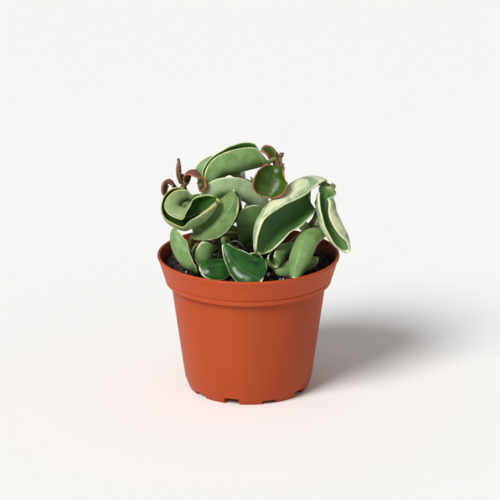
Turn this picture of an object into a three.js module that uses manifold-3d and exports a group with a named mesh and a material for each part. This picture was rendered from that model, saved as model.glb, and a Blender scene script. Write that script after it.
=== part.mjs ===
// A young variegated hoya with folded, curled leaves on short vines, in a round plastic nursery pot of mix.
// Millimetres, +Z up. The origin is under the middle of the whole plant, on the surface that the pot stands
// on. The pot's own middle is POT_X to the side of it. -Y is the front.
import * as THREE from "three";
import { mergeVertices } from "three/addons/utils/BufferGeometryUtils.js";
import Module from "manifold-3d";

const wasm = await Module();
wasm.setup();

// All the tables below are measured from the pot's middle.
const POT_X = -3.05;

// The pot's wall as [radius, height]: under its floor, up the outside to the lip, and down the inside.
const POT_UNDER = [[0, 5], [33.4, 5], [33.4, 0]];
const POT_OUTSIDE = [
  [35.2, 0], [35.6, 0.4], [37.3, 4.9], [38.2, 7.5], [45.9, 64.6], [46.5, 65.4], [48.9, 65.8], [49.2, 66.2],
  [49.7, 69.2], [49.95, 69.5], [53.5, 80.8], [54, 81.2], [54, 82], [53.5, 82.5],
];
const POT_INSIDE = [
  [52.7, 82.5], [52.3, 82], [48.5, 69.6], [47.8, 67.1], [45.6, 66.7], [44.8, 65.9], [36.9, 8.1], [35.7, 6.3],
];
const POT_FLOOR_TOP = 6.3;
const POT_SIDES = 50;

// Notches in the foot ring, of two heights by turns, and drain holes in the floor.
const NOTCH_COUNT = 10;
const NOTCH_WIDTH = 9;
const NOTCH_DEPTH = 9;
const NOTCH_HEIGHTS = [3.9, 2.4];
const NOTCH_CIRCLE = 34.5;
const FIRST_NOTCH = THREE.MathUtils.degToRad(-106);
const DRAIN_COUNT = 5;
const DRAIN_RADIUS = 3.5;
const DRAIN_DEPTH = 6;
const DRAIN_CIRCLE = 22;
const DRAIN_SIDES = 16;

// Potting mix: a plug that fills the pot to a little under its rim. Its lumps die out towards its edge.
const SOIL_Z = 75.5;
const SOIL_GAP = 0.3;
const SOIL_SIDES = 30;
const SOIL_RINGS = [1, 0.84, 0.68, 0.52, 0.36, 0.2];
const SOIL_RELIEF = 0.3;
const SOIL_LEVEL_EDGE = 6;
const ON_TOP = 0.01;

// Vines and dry twigs.
const VINE_RADIUS = 2.1;
const VINE_TIP_RADIUS = 1.5;
const VINE_SIDES = 8;
const VINE_STEPS = 9;
const TWIG_STEPS = 6;
const KNOB_DETAIL = 1;
// A leaf's stalk starts this far off the vine's skin. The mix clears a vine by as much.
const SEAT_GAP = 0.3;
const SEAT_SEARCH = 100;

// Leaves. STALK_FLATNESS makes the stalk's section an oval, STALK_FADE is the share of the blade in which
// that oval becomes the blade's section, and CURL_LIMIT is the tightest radius that a blade curls to.
const STALK_RADIUS = 1.3;
const STALK_FLATNESS = 0.85;
const STALK_FADE = 0.1;
const BLADE = 1.9;
const BLADE_EDGE = 1.0;
const CURL_LIMIT = 1.43;
const TIP_HALF = 0.7;
const TIP_START = 0.9;
const TIP_THINNING = 0.8;
const BLADE_STEPS = 9;
const HALF_STEPS = 4;
const BLUNT_BASE = 0.38;
const BLUNT_TIP = 0.5;
const FOLD = 0.8;
const CURL_SUBSTEPS = 12;
const SPAN_STEPS = 50;
const MERGE = 1e-3;

const COLOURS = { pot: 0xc25a34, soil: 0x2b211c, vine: 0x7a6a48, dry: 0x6b4433 };
const LEAF_COLOURS = { upper: 0x1f5a22, lower: 0x86a873, margin: 0xe9e4b4 };
const YOUNG_COLOURS = { upper: 0x3f6a26, lower: 0x6e3c33, margin: 0xa8604a };
const ROUGHNESS = { pot: 0.45, soil: 0.95, vine: 0.8, leaf: 0.4, dry: 0.9 };

// Each vine's middle line, from inside the mix to its growing tip.
const VINES = {
  left: [[-13, 4, 50], [-14, 4, 76], [-21, 5, 92], [-30, 6, 106], [-36, 6, 117], [-39, 5, 123]],
  centre: [
    [3, 9, 50], [3, 10, 76], [3, 13, 95], [5, 13.5, 108], [9, 12, 120], [14.5, 9, 130], [17.5, 6, 138],
  ],
  right: [[17, 2, 50], [20, 2, 76], [31, 4, 90], [38.5, 5, 101], [42, 6, 110], [46.5, 5, 118], [50, -2, 125]],
  front: [[-3, -12, 50], [-4, -13, 76], [-7, -15, 86], [-11, -18, 94], [-13, -20, 99]],
  low: [[13, -11, 50], [14, -12, 76], [17, -10, 83], [21, -5, 89]],
  back_left: [[-11, 17, 50], [-12, 18, 76], [-16, 20, 90], [-16, 21, 102]],
  back_right: [[13, 17, 50], [14, 18, 76], [18, 19, 90], [19, 18, 103]],
};

// stalk: points of the stalk between the vine and the blade, if any. rib: the blade's middle line, base to
// tip. face: where the upper side looks, along the blade. half: the flat blade's half width, or that of each
// half. left and right: how far each half turns up, in degrees, along the blade. fold: the share of the half
// width that the turn takes. base and tip: how pointed the two ends are. steps and across: how finely the
// blade is divided.
const LEAVES = [
  {
    name: "leaf_crown", vine: "centre",
    stalk: [[15, 5.5, 139]],
    rib: [
      [11.8, 5, 137], [6, 4, 135], [-1.5, 3, 133.4], [-8.5, 2, 132], [-15.5, 2, 128.5], [-21, 1, 119.8],
    ],
    face: [[0, 0, 1]],
    half: [21, 21], left: [100, 112, 105], right: [100, 112, 105], fold: 0.7, base: 0.26, tip: 0.42,
  },
  {
    name: "leaf_behind_crown", vine: "centre",
    stalk: [[1, 14, 122]],
    rib: [[-5, 16, 124], [-14, 18, 127.5], [-22.5, 18, 126], [-28, 17, 120]],
    face: [[-0.3, 0.6, 0.8]],
    half: 13, left: [90], right: [90], fold: 0.7, tip: 0.4, across: 3,
  },
  {
    name: "leaf_arch", vine: "centre",
    stalk: [[9, 8, 99]],
    rib: [
      [10.5, 3, 103], [5.6, 1.5, 108.8], [-0.9, 0, 114], [-7, -1, 117.6], [-12.5, -2, 119],
      [-17.8, -2, 117.2], [-21.6, -2, 111.5],
    ],
    face: [[0.1, 0.15, 1]],
    half: [17.5, 9], left: [90, 95, 90], right: [90, 95, 90], fold: 0.7, base: 0.6, tip: 0.38,
  },
  {
    name: "leaf_lobe", vine: "left",
    stalk: [[-22, -1, 88], [-31, -7, 89], [-34.5, -11.5, 92.5]],
    rib: [
      [-32.4, -14, 97.8], [-28.4, -13.4, 105.2], [-23.4, -13, 111.8], [-17.8, -14, 117.6],
      [-12.5, -14.5, 122.4], [-8, -14.5, 126],
    ],
    face: [[0.72, -0.12, -0.6]],
    half: [21, 24.5], left: [85, 90, 95], right: [75, 84, 86], fold: 0.75, base: 0.38, tip: 0.42,
  },
  {
    name: "leaf_left_swirl", vine: "left",
    stalk: [[-30, 1, 113]],
    rib: [
      [-31.6, -4, 117], [-36.5, -6, 117.2], [-40.3, -8, 115.6], [-40.8, -12, 112.4], [-38, -15, 110.4],
      [-32, -16.5, 110.8], [-24.5, -18, 114.4], [-17.2, -21.5, 122],
    ],
    face: [
      [0, 0, 1], [-0.2, -0.1, 1], [-0.8, -0.4, 0.4], [-0.6, -0.7, 0], [0, -0.85, 0.5], [0, -0.7, 0.7],
      [0, -0.65, 0.75],
    ],
    half: [19.5, 19], left: [95, 142, 150, 118, 88], right: [95, 138, 122, 95], base: 0.6, steps: 15,
  },
  {
    name: "leaf_big_open", vine: "right",
    rib: [
      [45, -0.6, 125.5], [39, -1, 129.8], [28.8, -2.2, 127.8], [17.8, -5.4, 116.8], [8.8, -12, 104.4],
      [5.1, -24, 89.6],
    ],
    face: [[0, -0.4, -0.9], [0.28, -0.55, -0.8], [0.45, -0.85, -0.4], [0.5, -0.8, 0], [0.5, -0.75, 0.3]],
    half: [29, 24], left: [92, 120, 122, 98], right: [55, 98, 92, 82], base: 0.5,
  },
  {
    name: "leaf_right_hanging", vine: "right",
    rib: [
      [48.3, -8.5, 125.5], [45.7, -9, 120], [46.1, -9.5, 113.5], [48.4, -9.5, 106], [52, -10, 99],
      [55.7, -11, 93], [59, -14, 87.5],
    ],
    face: [[-0.1, -0.5, 0.8], [-0.15, -0.98, 0], [-0.15, -0.98, 0], [-0.15, -0.98, 0], [-0.15, -0.98, 0]],
    half: [17.5, 15.8], left: [120, 148, 138, 108], right: [120, 144, 136, 108],
    fold: 0.85, base: 0.5, tip: 0.6,
  },
  {
    name: "leaf_centre", vine: "centre",
    stalk: [[-2, 3, 103], [-8, -5.5, 104]],
    rib: [[-6.4, -8.3, 104.2], [-2, -9.6, 103.2], [4, -8.8, 101.4], [9.5, -5.8, 99.5]],
    face: [[0.45, 0.85, 0.3], [0.1, 0.95, 0.3], [0.1, 0.95, 0.3], [-0.2, 0.95, 0.3]],
    half: [25, 14.8], left: [0, 10, 20, 30], right: [0, 20, 40, 40], base: 0.34, tip: 0.4,
  },
  {
    name: "leaf_shadow", vine: "low",
    rib: [[9.8, -14, 79.6], [6, -17, 81.6], [1.5, -19.5, 82.5], [-3, -21, 82]],
    face: [[0.1, -0.2, 1]],
    half: 8, left: [70], right: [70], across: 3,
  },
  {
    name: "leaf_under", vine: "centre",
    rib: [[-4, 7, 86], [-8, 5, 90.5], [-13, 3.5, 92.5], [-17.5, 3, 91.5]],
    face: [[0.1, 0, 1]],
    half: [8.4, 10], left: [70], right: [70], across: 3,
  },
  {
    name: "leaf_left_wall", vine: "left",
    stalk: [[-20, -7, 79], [-26, -20, 78.7]],
    rib: [
      [-30.5, -27.5, 79.9], [-37.5, -28.5, 84.3], [-42.6, -26.5, 91], [-44.8, -24, 98], [-44, -22, 105],
    ],
    face: [[0.1, 0, 1], [0.4, 0.1, 0.9], [0.8, 0.2, 0.3], [0.95, 0.2, 0]],
    half: [13.6, 12.5], left: [60, 85, 85, 55], right: [60, 85, 85, 80], fold: 0.7, base: 0.45, tip: 0.4,
  },
  {
    name: "leaf_front_rolled", vine: "front",
    stalk: [[-13, -17.5, 82]],
    rib: [[-20, -18.3, 83], [-21.8, -18, 86], [-21.6, -17, 89], [-20, -15.5, 91.6]],
    face: [[-0.2, 0, -1], [-0.9, -0.3, -0.1], [-0.9, -0.35, 0.15], [-0.9, -0.35, 0.15]],
    half: [14.5, 17.4], left: [60, 95, 95, 90], right: [60, 95, 95, 90], fold: 0.7, base: 0.45, tip: 0.45,
  },
  {
    name: "leaf_front_dark", vine: "front",
    rib: [
      [-14.8, -26, 99], [-12.4, -31.8, 94.3], [-8.6, -37.2, 89.6], [-3.6, -42, 85.6], [2.4, -45, 82.8],
      [8, -46.6, 80.8],
    ],
    face: [[0, 0, 1], [0.1, -0.75, 0.6], [0.15, -0.75, 0.6], [0.25, -0.8, 0.5], [0.4, -0.8, 0.42]],
    half: [16.5, 8], left: [10, -20, -30], right: [-50, -50, -30], base: 1.05, tip: 0.3,
  },
  {
    name: "leaf_front_low", vine: "front",
    stalk: [[-6.5, -24, 84.5]],
    rib: [[-9.5, -29.4, 85], [-15.5, -32.4, 85.6], [-22.5, -34.4, 85.6], [-28.4, -35, 84]],
    face: [[0, -0.6, 0.8]],
    half: [10, 8], left: [-30, -35, -30], right: [-30, -35, -30], base: 0.45, tip: 0.4,
  },
  {
    name: "leaf_right_banana", vine: "right",
    stalk: [[42, 0, 96.5]],
    rib: [
      [42.6, -4, 97.5], [41.6, -8.5, 100.2], [38.2, -15, 101.6], [34.4, -21.5, 99.4], [30.8, -27.5, 93],
      [28, -32.5, 85], [26.6, -35.5, 78.8],
    ],
    face: [[0, -0.2, -1], [0.2, 0.8, -0.5], [0.3, 0.9, 0], [0.3, 0.9, 0]],
    half: 11.4, left: [80, 70, 65], right: [80, 85, 90], fold: 0.7, base: 0.42, tip: 0.35,
  },
  {
    name: "leaf_right_rim", vine: "low",
    rib: [[16.4, -25.6, 80.1], [21.8, -24.4, 82.2], [30.8, -19.6, 84.2], [40.8, -15, 84]],
    face: [[0, 0.7, -0.7]],
    half: [8, 5], left: [50, 60, 50], right: [50, 60, 50], base: 0.45, tip: 0.45, across: 3,
  },
  {
    name: "leaf_rolled_tube", vine: "low",
    stalk: [[24, -6, 90.3]],
    rib: [[26.7, -9, 90.9], [22.8, -13.5, 88.2], [18.4, -19.5, 85], [16.2, -27, 82.5]],
    face: [[-0.4, 0, 0.9]],
    half: 11.5, left: [90, 145, 145, 140, 100], right: [90, 145, 145, 140, 100],
    fold: 0.9, base: 0.5, tip: 0.3,
  },
  {
    name: "leaf_young_cup", young: true, vine: "centre",
    rib: [[17, -8.8, 138.4], [14.1, -12, 132.8], [11.2, -14.8, 126.8], [9.4, -16.4, 121.8]],
    face: [[0, -0.2, 1], [-0.1, -0.95, 0.1], [-0.1, -0.95, 0.1], [-0.1, -0.95, 0.1]],
    half: 14.4, left: [70, 75, 60], right: [70, 75, 60], fold: 0.9, base: 0.58,
  },
  {
    name: "leaf_young_top", young: true, vine: "centre",
    rib: [[14.6, 10.4, 137], [13.2, 12, 140], [10.4, 13.3, 142], [7.4, 14, 142.4]],
    face: [[0.2, -0.6, 0.8]],
    half: 4.4, left: [40], right: [40], tip: 0.45, across: 3,
  },
  {
    name: "leaf_young_loop", young: true, vine: "left",
    rib: [
      [-36, 3.8, 125.2], [-36, 2, 129], [-35, 0, 132.6], [-31.5, -4, 134], [-28.3, -6, 131.6],
      [-26.6, -8, 127.5], [-28, -8.5, 123],
    ],
    face: [
      [0.5, -0.7, -0.4], [0.7, -0.6, -0.1], [0.3, -0.2, -0.8], [-0.3, 0, -0.9], [-0.5, -0.85, -0.2],
      [-0.2, -0.95, -0.1],
    ],
    half: 5, left: [0, 40, 40], right: [0, 40, 40], base: 0.5, across: 3,
  },
  {
    name: "leaf_young_hook", young: true, vine: "left",
    stalk: [[-41.5, 4, 119.5]],
    rib: [[-43.8, 2, 123.5], [-46.3, 0, 127.5], [-49, -2, 126.5], [-49.8, -3, 122], [-48.5, -3, 118.5]],
    face: [[-0.5, -0.2, -0.9], [0, -0.4, -0.9], [0.8, -0.6, 0.1], [0.8, -0.6, 0.1]],
    half: 3.6, left: [60], right: [60], tip: 0.45, across: 3,
  },
  {
    name: "leaf_back_tall", vine: "back_left",
    rib: [[-10, 21, 109], [-9, 26, 115.5], [-12, 32, 114.5], [-15, 36, 106], [-15, 37, 97]],
    face: [[0, -0.85, 0.5], [0, 0.1, 1], [-0.2, 0.8, 0.5], [-0.2, 0.9, 0.3]],
    half: 15.5, left: [80, 120, 130], right: [100, 90, 60], across: 3,
  },
  {
    name: "leaf_back_side", vine: "back_right",
    rib: [[22, 18, 105], [25, 23, 109], [28, 30, 106], [29, 35, 97], [28, 36, 88]],
    face: [[-0.4, -0.6, 0.7], [0, 0.1, 1], [0.2, 0.85, 0.5], [0.3, 0.9, 0.2]],
    half: 15, left: [90, 60, 40], right: [100, 130, 120], across: 3,
  },
  {
    name: "leaf_back_middle", vine: "centre",
    rib: [[6, 20, 115], [7, 26, 118], [7.5, 33, 114], [7, 37, 106], [6, 38.5, 99]],
    face: [[0, -0.5, 0.9], [0, 0.3, 1], [0.1, 0.8, 0.5], [0, 0.9, 0.3]],
    half: 8.4, left: [60, 65, 40], right: [60, 80, 50], across: 3,
  },
  {
    name: "leaf_back_right_high", vine: "right",
    rib: [[43, 12, 107], [45, 18, 108], [46, 24, 103], [45.5, 28, 96]],
    face: [[0, -0.2, 1], [0.2, 0.3, 0.9], [0.4, 0.7, 0.5]],
    half: 9, left: [100, 100, 90], right: [100, 100, 90], across: 3,
  },
  {
    name: "leaf_back_low", vine: "back_right",
    rib: [[9, 24, 92], [7, 31, 95], [4, 38, 92], [2, 42, 84]],
    face: [[0.1, -0.4, 0.9], [0, 0.3, 0.9], [0, 0.7, 0.6]],
    half: 13, left: [60, 100, 90], right: [60, 100, 90], base: 0.6, across: 3,
  },
  {
    name: "leaf_back_left_high", vine: "left",
    rib: [[-30, 14, 105], [-32, 20, 105], [-36, 25, 101], [-38, 28, 95], [-37, 30, 89]],
    face: [[0.2, 0, 1], [-0.2, 0.4, 0.9], [-0.4, 0.8, 0.4]],
    half: 13, left: [80, 60, 40], right: [100, 120, 100], across: 3,
  },
  {
    name: "leaf_back_left_low", vine: "back_left",
    rib: [[-20, 26, 88], [-24, 32, 90], [-27, 36, 85], [-28, 37, 80]],
    face: [[0, -0.2, 1], [-0.2, 0.4, 0.9], [-0.3, 0.8, 0.5]],
    half: 11, left: [50, 60, 70], right: [50, 40, 40], across: 3,
  },
  {
    name: "leaf_back_right_low", vine: "right",
    rib: [[33, 12, 93], [37, 18, 94], [39, 25, 89], [37, 30, 82.5]],
    face: [[-0.1, -0.1, 1], [0.2, 0.4, 0.9], [0.3, 0.8, 0.5]],
    half: 12, left: [50, 90, 80], right: [50, 90, 80], base: 0.6, across: 3,
  },
];

// Dry remains at two growing tips: a withered flower stalk, and short twigs with bud knobs.
const TUFTS = [
  {
    name: "flower_stalk_dry",
    twigs: [
      {
        rib: [[-39.8, 4.2, 125.6], [-40.6, 3, 129], [-40.9, 2, 134], [-40.7, 1.5, 139.5]],
        radii: [1.4, 1.75, 1.7, 0.8],
      },
      { rib: [[-39.6, 4.2, 125.6], [-39, 5, 128], [-38.6, 5.5, 130]], radii: [1.1, 1.3, 0.8] },
    ],
    knobs: [{ spot: [-39.7, 4.3, 125.7], radius: 1.6 }],
  },
  {
    name: "bud_tuft",
    twigs: [
      { rib: [[18.4, 4.8, 140], [17.4, 4.2, 141.2], [16.4, 3.8, 142.2]], radii: [1.2, 1.1, 0.9] },
      { rib: [[18.4, 4.8, 140], [19, 3.8, 141], [19.2, 3.4, 142]], radii: [1.2, 1.1, 1] },
    ],
    knobs: [
      { spot: [18.4, 4.8, 140.1], radius: 1.6 },
      { spot: [16.2, 3.8, 142.4], radius: 1.4 },
      { spot: [19.3, 3.4, 142.1], radius: 1.6 },
    ],
  },
];

const at = (x, y, z) => new THREE.Vector3(x, y, z);

function curveThrough(points) {
  return new THREE.CatmullRomCurve3(points.map((point) => at(...point)), false, "catmullrom");
}

function solidOf(geometry) {
  const bare = new THREE.BufferGeometry();
  bare.setAttribute("position", geometry.getAttribute("position").clone());
  if (geometry.index) bare.setIndex(geometry.index.clone());
  const merged = mergeVertices(bare, MERGE);
  return new wasm.Manifold(
    new wasm.Mesh({
      numProp: 3,
      vertProperties: new Float32Array(merged.attributes.position.array),
      triVerts: new Uint32Array(merged.index.array),
    }),
  );
}

function geometryOf(solid) {
  const mesh = solid.getMesh();
  return new THREE.BufferGeometry()
    .setAttribute("position", new THREE.BufferAttribute(mesh.vertProperties, 3))
    .setIndex(new THREE.BufferAttribute(mesh.triVerts, 1));
}

// Turns an outline of [radius, height] about the pot's axis.
function turned(outline, sides) {
  const points = outline.map(([radius, height]) => new THREE.Vector2(radius, height));
  return new THREE.LatheGeometry(points, sides).rotateX(Math.PI / 2);
}

// Joins closed rings of points into one skin with both ends filled. A ring's first half is one face of the
// piece and its second half the other face, and both are split into triangles alike.
function skin(rings, colourOf) {
  const count = rings[0].length;
  const positions = [];
  const tints = [];
  const faces = [];
  rings.forEach((ring, i) =>
    ring.forEach((p, j) => {
      positions.push(p.x, p.y, p.z);
      if (colourOf) tints.push(...new THREE.Color(colourOf(i, j)).toArray());
    }),
  );
  for (let i = 0; i + 1 < rings.length; i++)
    for (let j = 0; j < count; j++) {
      const a = i * count + j;
      const b = i * count + ((j + 1) % count);
      if (j < count / 2) faces.push(a, b, b + count, a, b + count, a + count);
      else faces.push(a, b, a + count, b, b + count, a + count);
    }
  const last = (rings.length - 1) * count;
  for (let k = 0; k < count / 2 - 1; k++) {
    const [p, q, r, s] = [k, k + 1, count - 2 - k, count - 1 - k];
    faces.push(p, r, q, p, s, r);
    faces.push(last + p, last + q, last + r, last + p, last + r, last + s);
  }
  const geometry = new THREE.BufferGeometry();
  geometry.setAttribute("position", new THREE.Float32BufferAttribute(positions, 3));
  if (colourOf) geometry.setAttribute("color", new THREE.Float32BufferAttribute(tints, 3));
  geometry.setIndex(faces);
  return geometry;
}

// A value from a list of numbers, or of [x, y, z], that is spread evenly along a share from 0 to 1.
function along(values, share) {
  if (values.length === 1) return values[0];
  const place = Math.min(Math.max(share, 0), 1) * (values.length - 1);
  const i = Math.min(Math.floor(place), values.length - 2);
  const blend = (a, b) => THREE.MathUtils.lerp(a, b, place - i);
  if (typeof values[0] === "number") return blend(values[i], values[i + 1]);
  return values[i].map((value, k) => blend(value, values[i + 1][k]));
}

function vineRadius(share) {
  return THREE.MathUtils.lerp(VINE_RADIUS, VINE_TIP_RADIUS, share);
}

// A ring of points round a stem's middle line.
function roundRing(middle, tangent, radius) {
  const across = at(0, 1, 0).cross(tangent).normalize();
  const up = tangent.clone().cross(across).normalize();
  return Array.from({ length: VINE_SIDES }, (_, j) => {
    const turn = (2 * Math.PI * j) / VINE_SIDES;
    const spot = middle.clone().addScaledVector(across, -radius * Math.cos(turn));
    return spot.addScaledVector(up, -radius * Math.sin(turn));
  });
}

// A round tube along a curve, its radius given for each share of the length, closed by flat ends.
function tube(curve, steps, radiusOf) {
  const rings = Array.from({ length: steps + 1 }, (_, i) => {
    const share = i / steps;
    return roundRing(curve.getPointAt(share), curve.getTangentAt(share), radiusOf(share));
  });
  return skin(rings);
}

function vineGeometry(name, extra = 0) {
  return tube(curveThrough(VINES[name]), VINE_STEPS, (share) => vineRadius(share) + extra);
}

// A leaf's whole middle line, with its stalk, and the share of its length that is stalk. The stalk starts
// just off the vine, at the place nearest to its first point, and leaves it squarely.
function ribOf(leaf) {
  const vine = curveThrough(VINES[leaf.vine]);
  const stalk = leaf.stalk ?? [];
  const path = [...stalk, ...leaf.rib];
  const first = at(...path[0]);
  const shares = Array.from({ length: SEAT_SEARCH + 1 }, (_, i) => i / SEAT_SEARCH);
  const gap = (share) => vine.getPointAt(share).distanceTo(first);
  const seat = shares.reduce((best, share) => (gap(share) < gap(best) ? share : best));
  const middle = vine.getPointAt(seat);
  const tangent = vine.getTangentAt(seat);
  const away = first.sub(middle);
  away.addScaledVector(tangent, -away.dot(tangent)).normalize();
  const root = middle.addScaledVector(away, vineRadius(seat) + SEAT_GAP);
  const curve = curveThrough([root.toArray(), ...path]);
  curve.arcLengthDivisions = path.length * SPAN_STEPS;
  const lengths = curve.getLengths();
  return { curve, stalkShare: lengths[(stalk.length + 1) * SPAN_STEPS] / lengths[path.length * SPAN_STEPS] };
}

// The blade's width along its length, 1 at its widest. A low power gives its end a blunt shape.
function outlineOf(share, base, tip) {
  const shape = (s) => Math.pow(s, base) * Math.pow(1 - s, tip);
  return shape(share) / shape(base / (base + tip));
}

// Half of the blade's section, from the rib outwards: across, up and angle at count shares of its width.
function section(half, turn, fold, count) {
  const places = [{ across: 0, up: 0, angle: 0 }];
  const step = half / count / CURL_SUBSTEPS;
  let across = 0;
  let up = 0;
  for (let k = 1; k <= count; k++) {
    for (let n = 0; n < CURL_SUBSTEPS; n++) {
      const share = (k - 1 + (n + 0.5) / CURL_SUBSTEPS) / count;
      const angle = turn * Math.min(1, share / fold);
      across += Math.cos(angle) * step;
      up += Math.sin(angle) * step;
    }
    places.push({ across, up, angle: turn * Math.min(1, k / count / fold) });
  }
  return places;
}

// Places along the leaf: the stalk's start and middle, then the blade in steps that are closer at its ends.
function stationsOf(leaf, stalkShare) {
  const stalk = [0, 0.5].map((share) => ({ place: share * stalkShare, blade: 0, stem: 1 }));
  const steps = leaf.steps ?? BLADE_STEPS;
  const blades = Array.from({ length: steps + 1 }, (_, i) => {
    const blade = (1 - Math.cos((Math.PI * i) / steps)) / 2;
    const place = Math.min(stalkShare + blade * (1 - stalkShare), 1);
    return { place, blade, stem: Math.max(0, 1 - blade / STALK_FADE) };
  });
  return [...stalk, ...blades];
}

// Half the leaf's thickness, where across is the share of the half width from the rib.
function halfThickness(across, blade, stem) {
  const thinning = blade > TIP_START ? TIP_THINNING : 1;
  const bladeThick = THREE.MathUtils.lerp(BLADE, BLADE_EDGE, across * across) * thinning;
  const stalkThick = 2 * STALK_RADIUS * Math.sqrt(1 - STALK_FLATNESS * across * across);
  return THREE.MathUtils.lerp(bladeThick, stalkThick, stem) / 2;
}

// The leaf's section at one station: its upper side from left margin to right, then its lower side back.
function leafRing(leaf, curve, { place, blade, stem }) {
  const middle = curve.getPointAt(place);
  const tangent = curve.getTangentAt(place);
  const face = at(...along(leaf.face, blade));
  face.addScaledVector(tangent, -face.dot(tangent)).normalize();
  const side = tangent.clone().cross(face);
  const count = leaf.across ?? HALF_STEPS;
  const fold = leaf.fold ?? FOLD;
  const width = outlineOf(blade, leaf.base ?? BLUNT_BASE, leaf.tip ?? BLUNT_TIP);
  const narrowest = blade > 0.5 ? TIP_HALF : STALK_RADIUS;
  const upper = [];
  const lower = [];
  for (const sign of [-1, 1]) {
    const flat = Array.isArray(leaf.half) ? leaf.half[sign < 0 ? 0 : 1] : leaf.half;
    const half = Math.max(flat * width, narrowest);
    const wanted = THREE.MathUtils.degToRad(along(sign < 0 ? leaf.left : leaf.right, blade));
    const turn = Math.sign(wanted) * Math.min(Math.abs(wanted), (half * fold) / CURL_LIMIT) * (1 - stem);
    section(half, turn, fold, count).forEach(({ across, up, angle }, k) => {
      if (sign > 0 && k === 0) return;
      const thick = halfThickness(k / count, blade, stem);
      const spot = middle.clone().addScaledVector(side, sign * across).addScaledVector(face, up);
      const out = side.clone().multiplyScalar(-sign * Math.sin(angle)).addScaledVector(face, Math.cos(angle));
      const above = spot.clone().addScaledVector(out, thick);
      const below = spot.addScaledVector(out, -thick);
      if (sign < 0) {
        upper.unshift(above);
        lower.push(below);
      } else {
        upper.push(above);
        lower.unshift(below);
      }
    });
  }
  return [...upper, ...lower];
}

function leafGeometry(leaf) {
  const { curve, stalkShare } = ribOf(leaf);
  const stations = stationsOf(leaf, stalkShare);
  const rings = stations.map((station) => leafRing(leaf, curve, station));
  const { upper, lower, margin } = leaf.young ? YOUNG_COLOURS : LEAF_COLOURS;
  const width = rings[0].length / 2;
  const onMargin = [0, width - 1, width, 2 * width - 1];
  return skin(rings, (i, j) => {
    if (stations[i].blade === 0) return lower;
    if (onMargin.includes(j) || i === rings.length - 1) return margin;
    return j < width ? upper : lower;
  });
}

function potGeometry() {
  let pot = solidOf(turned([...POT_UNDER, ...POT_OUTSIDE, ...POT_INSIDE, [0, POT_FLOOR_TOP]], POT_SIDES));
  for (let i = 0; i < NOTCH_COUNT; i++) {
    const height = NOTCH_HEIGHTS[i % NOTCH_HEIGHTS.length];
    const notch = new THREE.BoxGeometry(NOTCH_DEPTH, NOTCH_WIDTH, 2 * height);
    notch.translate(NOTCH_CIRCLE, 0, 0).rotateZ(FIRST_NOTCH + (2 * Math.PI * i) / NOTCH_COUNT);
    pot = pot.subtract(solidOf(notch));
  }
  for (let i = 0; i < DRAIN_COUNT; i++) {
    const drain = new THREE.CylinderGeometry(DRAIN_RADIUS, DRAIN_RADIUS, DRAIN_DEPTH, DRAIN_SIDES);
    drain.rotateX(Math.PI / 2).translate(DRAIN_CIRCLE, 0, POT_FLOOR_TOP);
    drain.rotateZ((2 * Math.PI * i) / DRAIN_COUNT);
    pot = pot.subtract(solidOf(drain));
  }
  return geometryOf(pot);
}

// Low uneven lumps of the mix, by a sum of crossed waves.
function relief(x, y) {
  const waves = [x * 0.31 + y * 0.17, y * 0.37 - x * 0.12 + 1.3, (x + y) * 0.55 + 0.4];
  return SOIL_RELIEF * waves.reduce((sum, wave) => sum + Math.sin(wave), 0);
}

// The mix follows the pot's inside from the floor up to its own level.
function soilGeometry() {
  const wall = POT_INSIDE.slice(1)
    .reverse()
    .map(([radius, height]) => [radius - SOIL_GAP, height + SOIL_GAP]);
  const [below, above] = wall.slice(-2);
  const edge = THREE.MathUtils.mapLinear(SOIL_Z, below[1], above[1], below[0], above[0]);
  const top = SOIL_RINGS.map((part) => [edge * part, SOIL_Z]);
  const geometry = turned([[0, wall[0][1]], ...wall.slice(0, -1), ...top, [0, SOIL_Z]], SOIL_SIDES);
  const position = geometry.getAttribute("position");
  for (let i = 0; i < position.count; i++) {
    const [x, y, z] = [position.getX(i), position.getY(i), position.getZ(i)];
    const share = THREE.MathUtils.clamp((edge - Math.hypot(x, y)) / SOIL_LEVEL_EDGE, 0, 1);
    if (z > SOIL_Z - ON_TOP) position.setZ(i, z + relief(x, y) * share);
  }
  const holes = Object.keys(VINES).map((name) => solidOf(vineGeometry(name, SEAT_GAP)));
  return geometryOf(holes.reduce((soil, hole) => soil.subtract(hole), solidOf(geometry)));
}

// Dry twigs and bud knobs, joined into one body.
function tuftGeometry(tuft) {
  const twigs = tuft.twigs.map(({ rib, radii }) =>
    solidOf(tube(curveThrough(rib), TWIG_STEPS, (share) => along(radii, share))),
  );
  const knobs = tuft.knobs.map(({ spot, radius }) =>
    solidOf(new THREE.IcosahedronGeometry(radius, KNOB_DETAIL).translate(...spot)),
  );
  return geometryOf([...twigs, ...knobs].reduce((whole, solid) => whole.add(solid)));
}

function mesh(name, geometry, roughness, colour) {
  const look = colour === undefined ? { vertexColors: true } : { color: colour };
  const made = new THREE.Mesh(geometry, new THREE.MeshStandardMaterial({ ...look, roughness, metalness: 0 }));
  made.name = name;
  return made;
}

const potted = new THREE.Group();
potted.position.x = POT_X;
potted.add(mesh("pot", potGeometry(), ROUGHNESS.pot, COLOURS.pot));
potted.add(mesh("soil", soilGeometry(), ROUGHNESS.soil, COLOURS.soil));
for (const name of Object.keys(VINES))
  potted.add(mesh(`vine_${name}`, vineGeometry(name), ROUGHNESS.vine, COLOURS.vine));
for (const leaf of LEAVES) potted.add(mesh(leaf.name, leafGeometry(leaf), ROUGHNESS.leaf));
for (const tuft of TUFTS) potted.add(mesh(tuft.name, tuftGeometry(tuft), ROUGHNESS.dry, COLOURS.dry));

const plant = new THREE.Group();
plant.add(potted);

export default plant;
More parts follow.
